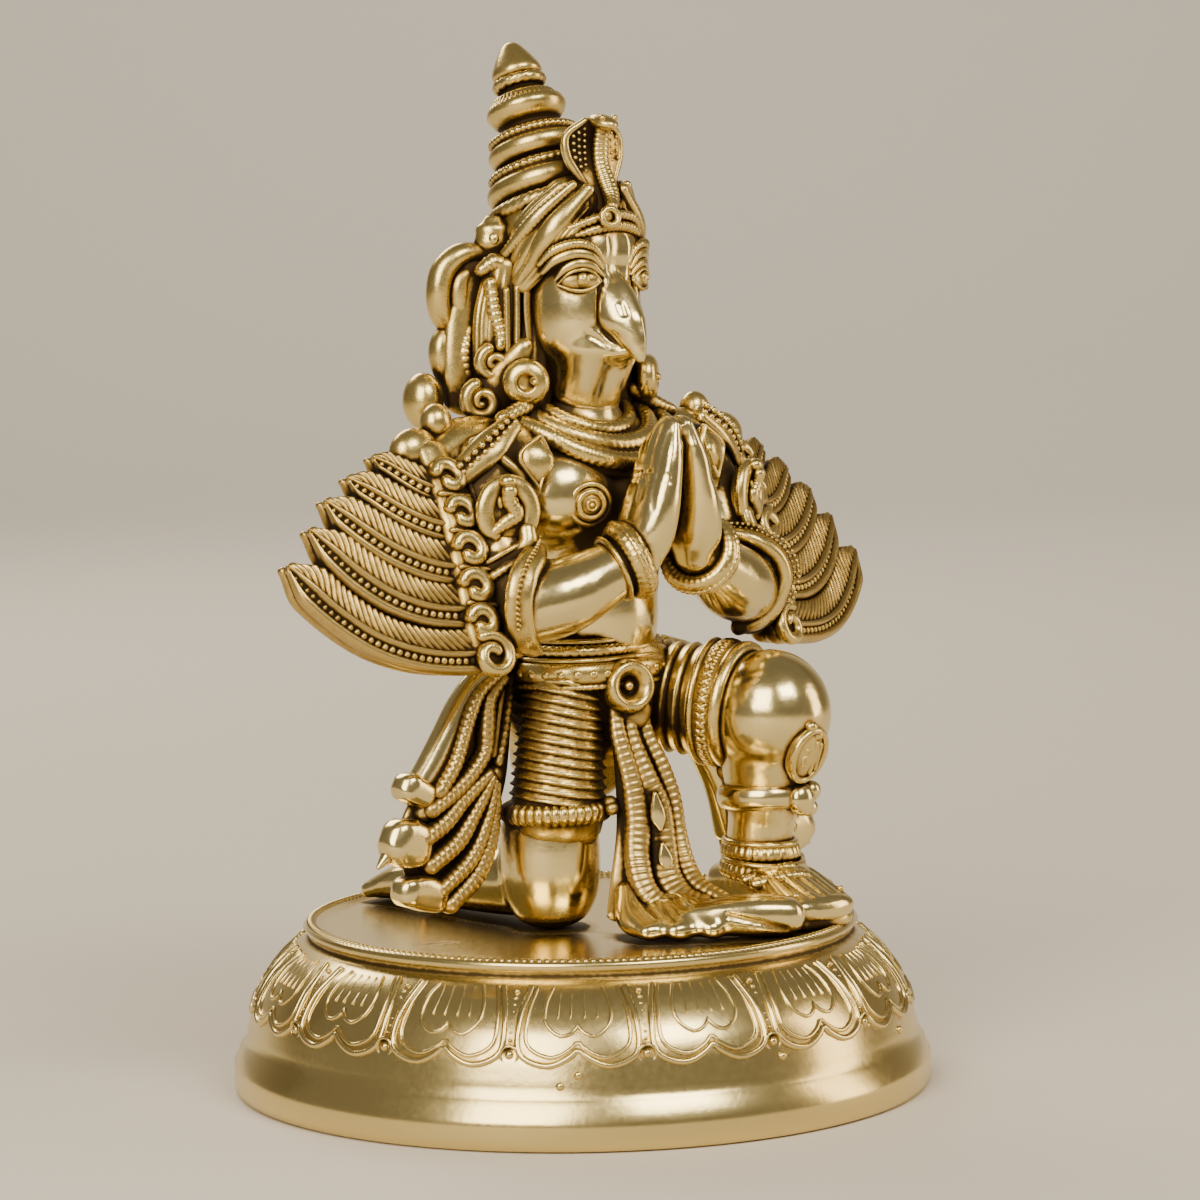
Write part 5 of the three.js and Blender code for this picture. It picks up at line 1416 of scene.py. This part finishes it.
def ear_side(side):
    """Combed hair behind the ear, the side locks, the ear's disc and two curls."""
    near = (side * 0.5, -0.86, 0)
    disc = np.array([side * 12.0, -3.6, 102.6])
    ear_disc = turned([(0, -1.6), (2.8, -1.6), (3.4, -0.8), (3.3, 0.3), (2.7, 1.0), (1.5, 1.4), (1.0, 0.7),
                       (0.5, 0.6), (0, 0.6)], 56, step=0.25)
    combed_hair = [
        strand(sided(side, (10.6, 2.0, 119), (11.6, 2.4, 112), (12.0, 2.6, 105)), [2.8, 3.6, 3.4], 1.6,
               near, 60, 0.8, relief=combed(15, 0.14)),
        strand(sided(side, (6.6, 1.4, 111), (7.3, 0.8, 105), (8.2, 0.4, 99.5)), [2.8, 3.4, 3.6],
               [3.0, 3.2, 3.2], FRONT, 48, 0.8, relief=combed(12, 0.14)),
    ]
    return [
        strand(sided(side, (10.2, 0.2, 116.0), (10.3, 0.2, 111), (10.5, 0.2, 106)), 0.6, 1.0, near, 14,
               0.3),
        strand(sided(side, (11.6, 0.9, 115.6), (11.6, 0.9, 111), (11.6, 0.9, 106)), 0.6, 1.0, near, 14,
               0.3),
        strand(sided(side, (14.0, 3.4, 118.6), (12.4, 2.4, 119.6), (10.6, 2.0, 118.4), (10.6, 1.8, 116.2)),
               [1.0, 1.4, 1.4, 1.0], 1.3, near, 16, 0.18, relief=notched(0.8, 0.26, 0, 0.4)),
        strand(sided(side, (13.2, 2.4, 116.6), (12.9, 2.0, 112.6), (12.2, 1.6, 109.4), (12.6, 1.4, 107.6)),
               [1.1, 1.2, 1.2, 0.9], 1.3, near, 16, 0.18, relief=notched(1.0, 0.28, 0, 0.4)),
        faced(ear_disc, (side * 0.67, -0.74, 0), disc),
        strand([disc + [0, -1.5, 0.3], disc + [0.0, -1.9, 0.0]], 0.5, 0.5, UP, 10, 0.3),
        spiral((side * 13.6, 1.4, 105.2), near, 2.3, 1.35, 0.95, 1.1, -side),
        spiral((side * 16.0, 1.4, 99.9), near, 2.6, 1.4, 1.05, 1.2, -side),
        strand(sided(side, (9.6, -0.4, 107.4), (12.0, 1.0, 103), (14.4, 2.6, 98.6)), [1.6, 3.0, 3.4],
               [1.6, 1.8, 1.6], near, 24, 0.4),
        strand(sided(side, (9.4, -3.0, 100.8), (12.6, -3.4, 99.0), (16.4, -3.2, 97.6)), [1.0, 1.3, 1.0],
               1.1, (side * 0.4, -0.9, 0.3), 16, 0.2, relief=notched(1.0, 0.26, 0.6, 0.4)),
        *combed_hair,
    ]


def ribbed(polar, angle):
    """Relief of ribs round a boss."""
    return 0.05 * np.cos(9 * polar)


def ribbon_loop(side):
    """The looped ribbon with its leaf and braid, the flower at the temple and the shoulder's boss."""
    facing = (side * 0.25, -1, 0)
    loop = sided(side, (9.6, 5.8, 119.6), (12.4, 6.2, 120.9), (15.2, 6.9, 120.7), (17.4, 7.8, 118.6),
                 (18.1, 8.2, 115.4), (17.3, 8.6, 112.2), (15.9, 8.8, 110.4))
    lower = sided(side, (15.9, 8.8, 110.4), (17.2, 9.0, 107.8), (16.9, 9.0, 104.8), (15.6, 8.8, 102.2),
                  (15.6, 8.4, 99.6))
    leaf = sided(side, (12.6, 6.2, 118.8), (14.8, 6.9, 117.4), (15.0, 7.2, 113.8), (13.8, 7.2, 109.8))
    return [
        strand(loop, [1.3, 1.5, 1.7, 1.8, 1.7, 1.6, 1.2], [1.6, 1.7, 1.9, 1.9, 1.9, 1.8, 1.5], facing, 18,
               0.45),
        strand(lower, [1.2, 1.6, 1.6, 1.4, 1.2], [1.5, 1.8, 1.8, 1.6, 1.4], facing, 18, 0.45),
        strand(leaf, [0.9, 1.5, 1.7, 0.5], [1.3, 1.6, 1.6, 1.0], facing, 22, 0.3),
        strand(sided(side, (12.6, 5.8, 119.0), (12.6, 6.4, 112), (13.8, 6.6, 104), (14.2, 6.8, 99)),
               [2.6, 4.6, 4.2, 3.2], [1.2, 1.6, 1.6, 1.4], facing, 24, 0.8),
        strand(sided(side, (14.2, 6.2, 110.2), (15.0, 6.4, 107), (14.6, 6.2, 103.4)), [0.9, 1.3, 0.9],
               [1.3, 1.5, 1.2], facing, 20, 0.16, relief=notched(1.0, 0.26, 0, 0.4)),
        bead((side * 10.4, 4.8, 122.9), (2.7, 2.0, 3.4), (side * 0.6, -0.8, 0), 36, ribbed),
        bead((side * 11.2, 3.8, 122.9), (1.0, 1.0, 1.2), (side * 0.6, -0.8, 0), 16),
        bead((side * 20.6, 9.0, 100.0), (2.9, 3.2, 4.1), facing, 40),
    ]


piece("side_locks_and_ear_discs", both(ear_side), figure_brass)
piece("ribbon_loops", both(ribbon_loop), figure_brass)

# Hair down the back.
# A plain fall of combed hair from the crown to between the wings, and behind it the smooth bridge of
# the shoulders that joins the two wings.
hair = [
    strand([(0, 5.6, 122), (0, 8.6, 115), (0, 9.6, 108), (0, 8.8, 100), (0, 7.6, 91), (0, 6, 84)],
           [6.4, 8.4, 9.8, 10.6, 7.6, 2.4], [3.4, 3.6, 3.4, 3.4, 3.2, 2.2], BACK, 88, 0.8,
           relief=lambda run, angle, length: 0.22 * np.cos(22 * angle) * np.clip(run / 6, 0, 1)),
]
piece("hair_down_the_back", hair, figure_brass)
bridge = strand([(RIGHT * 20, 2.2, 92), (0, 4.6, 91), (LEFT * 20, 2.2, 92)], [5.5, 7.2, 5.5],
                [3.2, 3.8, 3.2], BACK, 32, 0.6)
piece("shoulder_bridge", [bridge], buffed_brass)

# Patina and painted shade.
# The finished casting is blackened all over and then buffed, so patina stays only where the cloth cannot
# reach. How far a point lies below a ball rolled over
# the casting is stored for the brass: a small ball finds the chased lines, and a large ball finds the wide
# gaps between parts, whose darkening is painted shade.


def hollowness(places, triangles, reach, voxel, limit):
    """How many mm each place lies beneath a ball of radius `reach` rolled over all the castings."""
    grid = openvdb.createLinearTransform(voxel)
    level = openvdb.FloatGrid.createLevelSetFromPolygons(places, triangles=triangles, transform=grid,
                                                         halfWidth=reach / voxel + 2)
    rolled, rolled_triangles, rolled_quads = level.convertToPolygons(isovalue=reach)
    level = openvdb.FloatGrid.createLevelSetFromPolygons(
        rolled, triangles=rolled_triangles, quads=rolled_quads, transform=grid,
        halfWidth=(reach + limit) / voxel + 2)
    low, high = level.evalActiveVoxelBoundingBox()
    field = np.empty([high[i] - low[i] + 1 for i in range(3)], np.float32)
    level.copyToArray(field, ijk=low)
    spot = places / voxel - np.array(low)
    cell = np.clip(spot.astype(int), 0, np.array(field.shape) - 2)
    part = np.clip(spot - cell, 0, 1)
    total = np.zeros(len(places))
    for corner in np.ndindex(2, 2, 2):
        weight = np.prod(np.where(corner, part, 1 - part), axis=1)
        total += weight * field[tuple((cell + corner).T)]
    return np.clip(-total - reach, 0, limit)


all_places, all_triangles, counts, start = [], [], [], 0
for made in pieces:
    mesh = made.data
    place = np.empty(3 * len(mesh.vertices), np.float32)
    mesh.vertices.foreach_get("co", place)
    mesh.calc_loop_triangles()
    corner = np.empty(3 * len(mesh.loop_triangles), np.int32)
    mesh.loop_triangles.foreach_get("vertices", corner)
    all_places.append(place.reshape(-1, 3) / MM)
    all_triangles.append(corner.reshape(-1, 3) + start)
    counts.append(len(mesh.vertices))
    start += len(mesh.vertices)
all_places = np.vstack(all_places).astype(np.float32)
all_triangles = np.vstack(all_triangles).astype(np.uint32)
fine = hollowness(all_places, all_triangles, reach=0.8, voxel=0.25, limit=0.6)
# The large ball finds the wide gaps between parts, where shade falls: this share of the darkening is painted
# shade.
gap_shade_depth = hollowness(all_places, all_triangles, reach=2.8, voxel=0.5, limit=2.4)
FINE_SHARE = 1.5
PAINTED_SHADE_SHARE = 0.42
# crevice adds real patina in the chased lines to painted shade in the gaps between parts.
crevice = np.clip(FINE_SHARE * fine + PAINTED_SHADE_SHARE * gap_shade_depth, 0, 1.2)
start = 0
for made, count in zip(pieces, counts):
    layer = made.data.attributes.get("crevice") or made.data.attributes.new("crevice", "FLOAT", "POINT")
    layer.data.foreach_set("value", crevice[start:start + count].astype(np.float32))
    start += count

# Floor, light and camera.
# A plain pale floor under soft studio light, swept up in a wide curve far behind the object, and
# seen from where the photographer stood.

VIEW_AZIMUTH = math.radians(-42)
back = np.array([math.sin(VIEW_AZIMUTH), -math.cos(VIEW_AZIMUTH), 0])
right = np.array([math.cos(VIEW_AZIMUTH), math.sin(VIEW_AZIMUTH), 0])
FLOOR_FLAT = 1.3
FLOOR_CURVE = 0.9
sweep = [(-6.0, 0), (FLOOR_FLAT, 0)]
for turn in np.linspace(0, math.pi / 2, 25)[1:]:
    sweep.append((FLOOR_FLAT + FLOOR_CURVE * math.sin(turn), FLOOR_CURVE * (1 - math.cos(turn))))
sweep.append((FLOOR_FLAT + FLOOR_CURVE, 3.0))
corners = [tuple(right * x - back * far + np.array(UP) * high) for far, high in sweep for x in (-6.0, 6.0)]
floor_mesh = bpy.data.meshes.new("floor")
floor_mesh.from_pydata(corners, [],
                       [(2 * i, 2 * i + 1, 2 * i + 3, 2 * i + 2) for i in range(len(sweep) - 1)])
floor_mesh.shade_smooth()
floor = bpy.data.objects.new("floor", floor_mesh)
bpy.context.scene.collection.objects.link(floor)
paint = bpy.data.materials.new("floor, matt pale paint")
paint.use_nodes = True
paint.node_tree.nodes["Principled BSDF"].inputs["Base Color"].default_value = linear("#d8d0c2")
paint.node_tree.nodes["Principled BSDF"].inputs["Roughness"].default_value = 0.75
floor_mesh.materials.append(paint)


def soft_light(name, place, target, size, power, colour):
    """A rectangular lamp at `place` that shines on `target`."""
    lamp = bpy.data.lights.new(name, "AREA")
    lamp.shape = "RECTANGLE"
    lamp.size, lamp.size_y = size
    lamp.energy = power
    lamp.color = linear(colour)[:3]
    made = bpy.data.objects.new(name, lamp)
    made.location = place
    direction = np.subtract(target, place)
    yaw = math.atan2(direction[0], -direction[1])
    tilt = math.atan2(math.hypot(direction[0], direction[1]), -direction[2])
    made.rotation_euler = (tilt, 0, yaw + math.pi)
    bpy.context.scene.collection.objects.link(made)


MIDDLE = (0, 0, 0.075)
soft_light("window left of the camera", (-0.75, -0.35, 0.5), MIDDLE, (0.5, 0.6), 9, "#fff4e2")
soft_light("softbox over the camera", (-0.1, -0.8, 0.75), MIDDLE, (0.5, 0.35), 7, "#fff8ec")
soft_light("low fill from the right", (0.7, -0.55, 0.25), MIDDLE, (0.3, 0.6), 3, "#ffe9c8")
soft_light("rim from behind", (0.2, 0.8, 0.7), MIDDLE, (0.6, 0.3), 5, "#fff4e2")

sweep_target = -back * 2.1 + np.array([0, 0, 0.5])
soft_light("wash on the sweep", tuple(-back * 0.9 + np.array([0, 0, 1.3])), tuple(sweep_target),
           (1.6, 0.3), 16, "#fffaf2")

world = bpy.data.worlds.new("room")
world.use_nodes = True
world.node_tree.nodes["Background"].inputs["Color"].default_value = linear("#b4ab9b")
world.node_tree.nodes["Background"].inputs["Strength"].default_value = 0.5
bpy.context.scene.world = world

VIEW_PITCH = math.radians(4.96)
VIEW_ROLL = math.radians(0.9)
VIEW_DISTANCE = 592
VIEW_HEIGHT = 121.8
FOCAL_PIXELS = 4085
AXIS_PIXEL = 575.3
IMAGE = 1200
SENSOR_WIDTH = 36
yaw = math.atan((IMAGE / 2 - AXIS_PIXEL) / FOCAL_PIXELS)
ahead = -back * math.cos(yaw) + right * math.sin(yaw)
side = right * math.cos(yaw) + back * math.sin(yaw)
look = ahead * math.cos(VIEW_PITCH) - np.array(UP) * math.sin(VIEW_PITCH)
over = np.cross(side, look)
side, over = (side * math.cos(VIEW_ROLL) - over * math.sin(VIEW_ROLL),
              over * math.cos(VIEW_ROLL) + side * math.sin(VIEW_ROLL))
spot = (back * VIEW_DISTANCE + np.array([0, 0, VIEW_HEIGHT])) * MM
lens = bpy.data.cameras.new("camera")
lens.sensor_width = SENSOR_WIDTH
lens.lens = SENSOR_WIDTH * FOCAL_PIXELS / IMAGE
camera = bpy.data.objects.new("camera", lens)
bpy.context.scene.collection.objects.link(camera)
axes = np.stack([side, over, -look], 1)
camera.matrix_world = Matrix([[*axes[i], spot[i]] for i in range(3)] + [[0, 0, 0, 1]])
bpy.context.scene.camera = camera
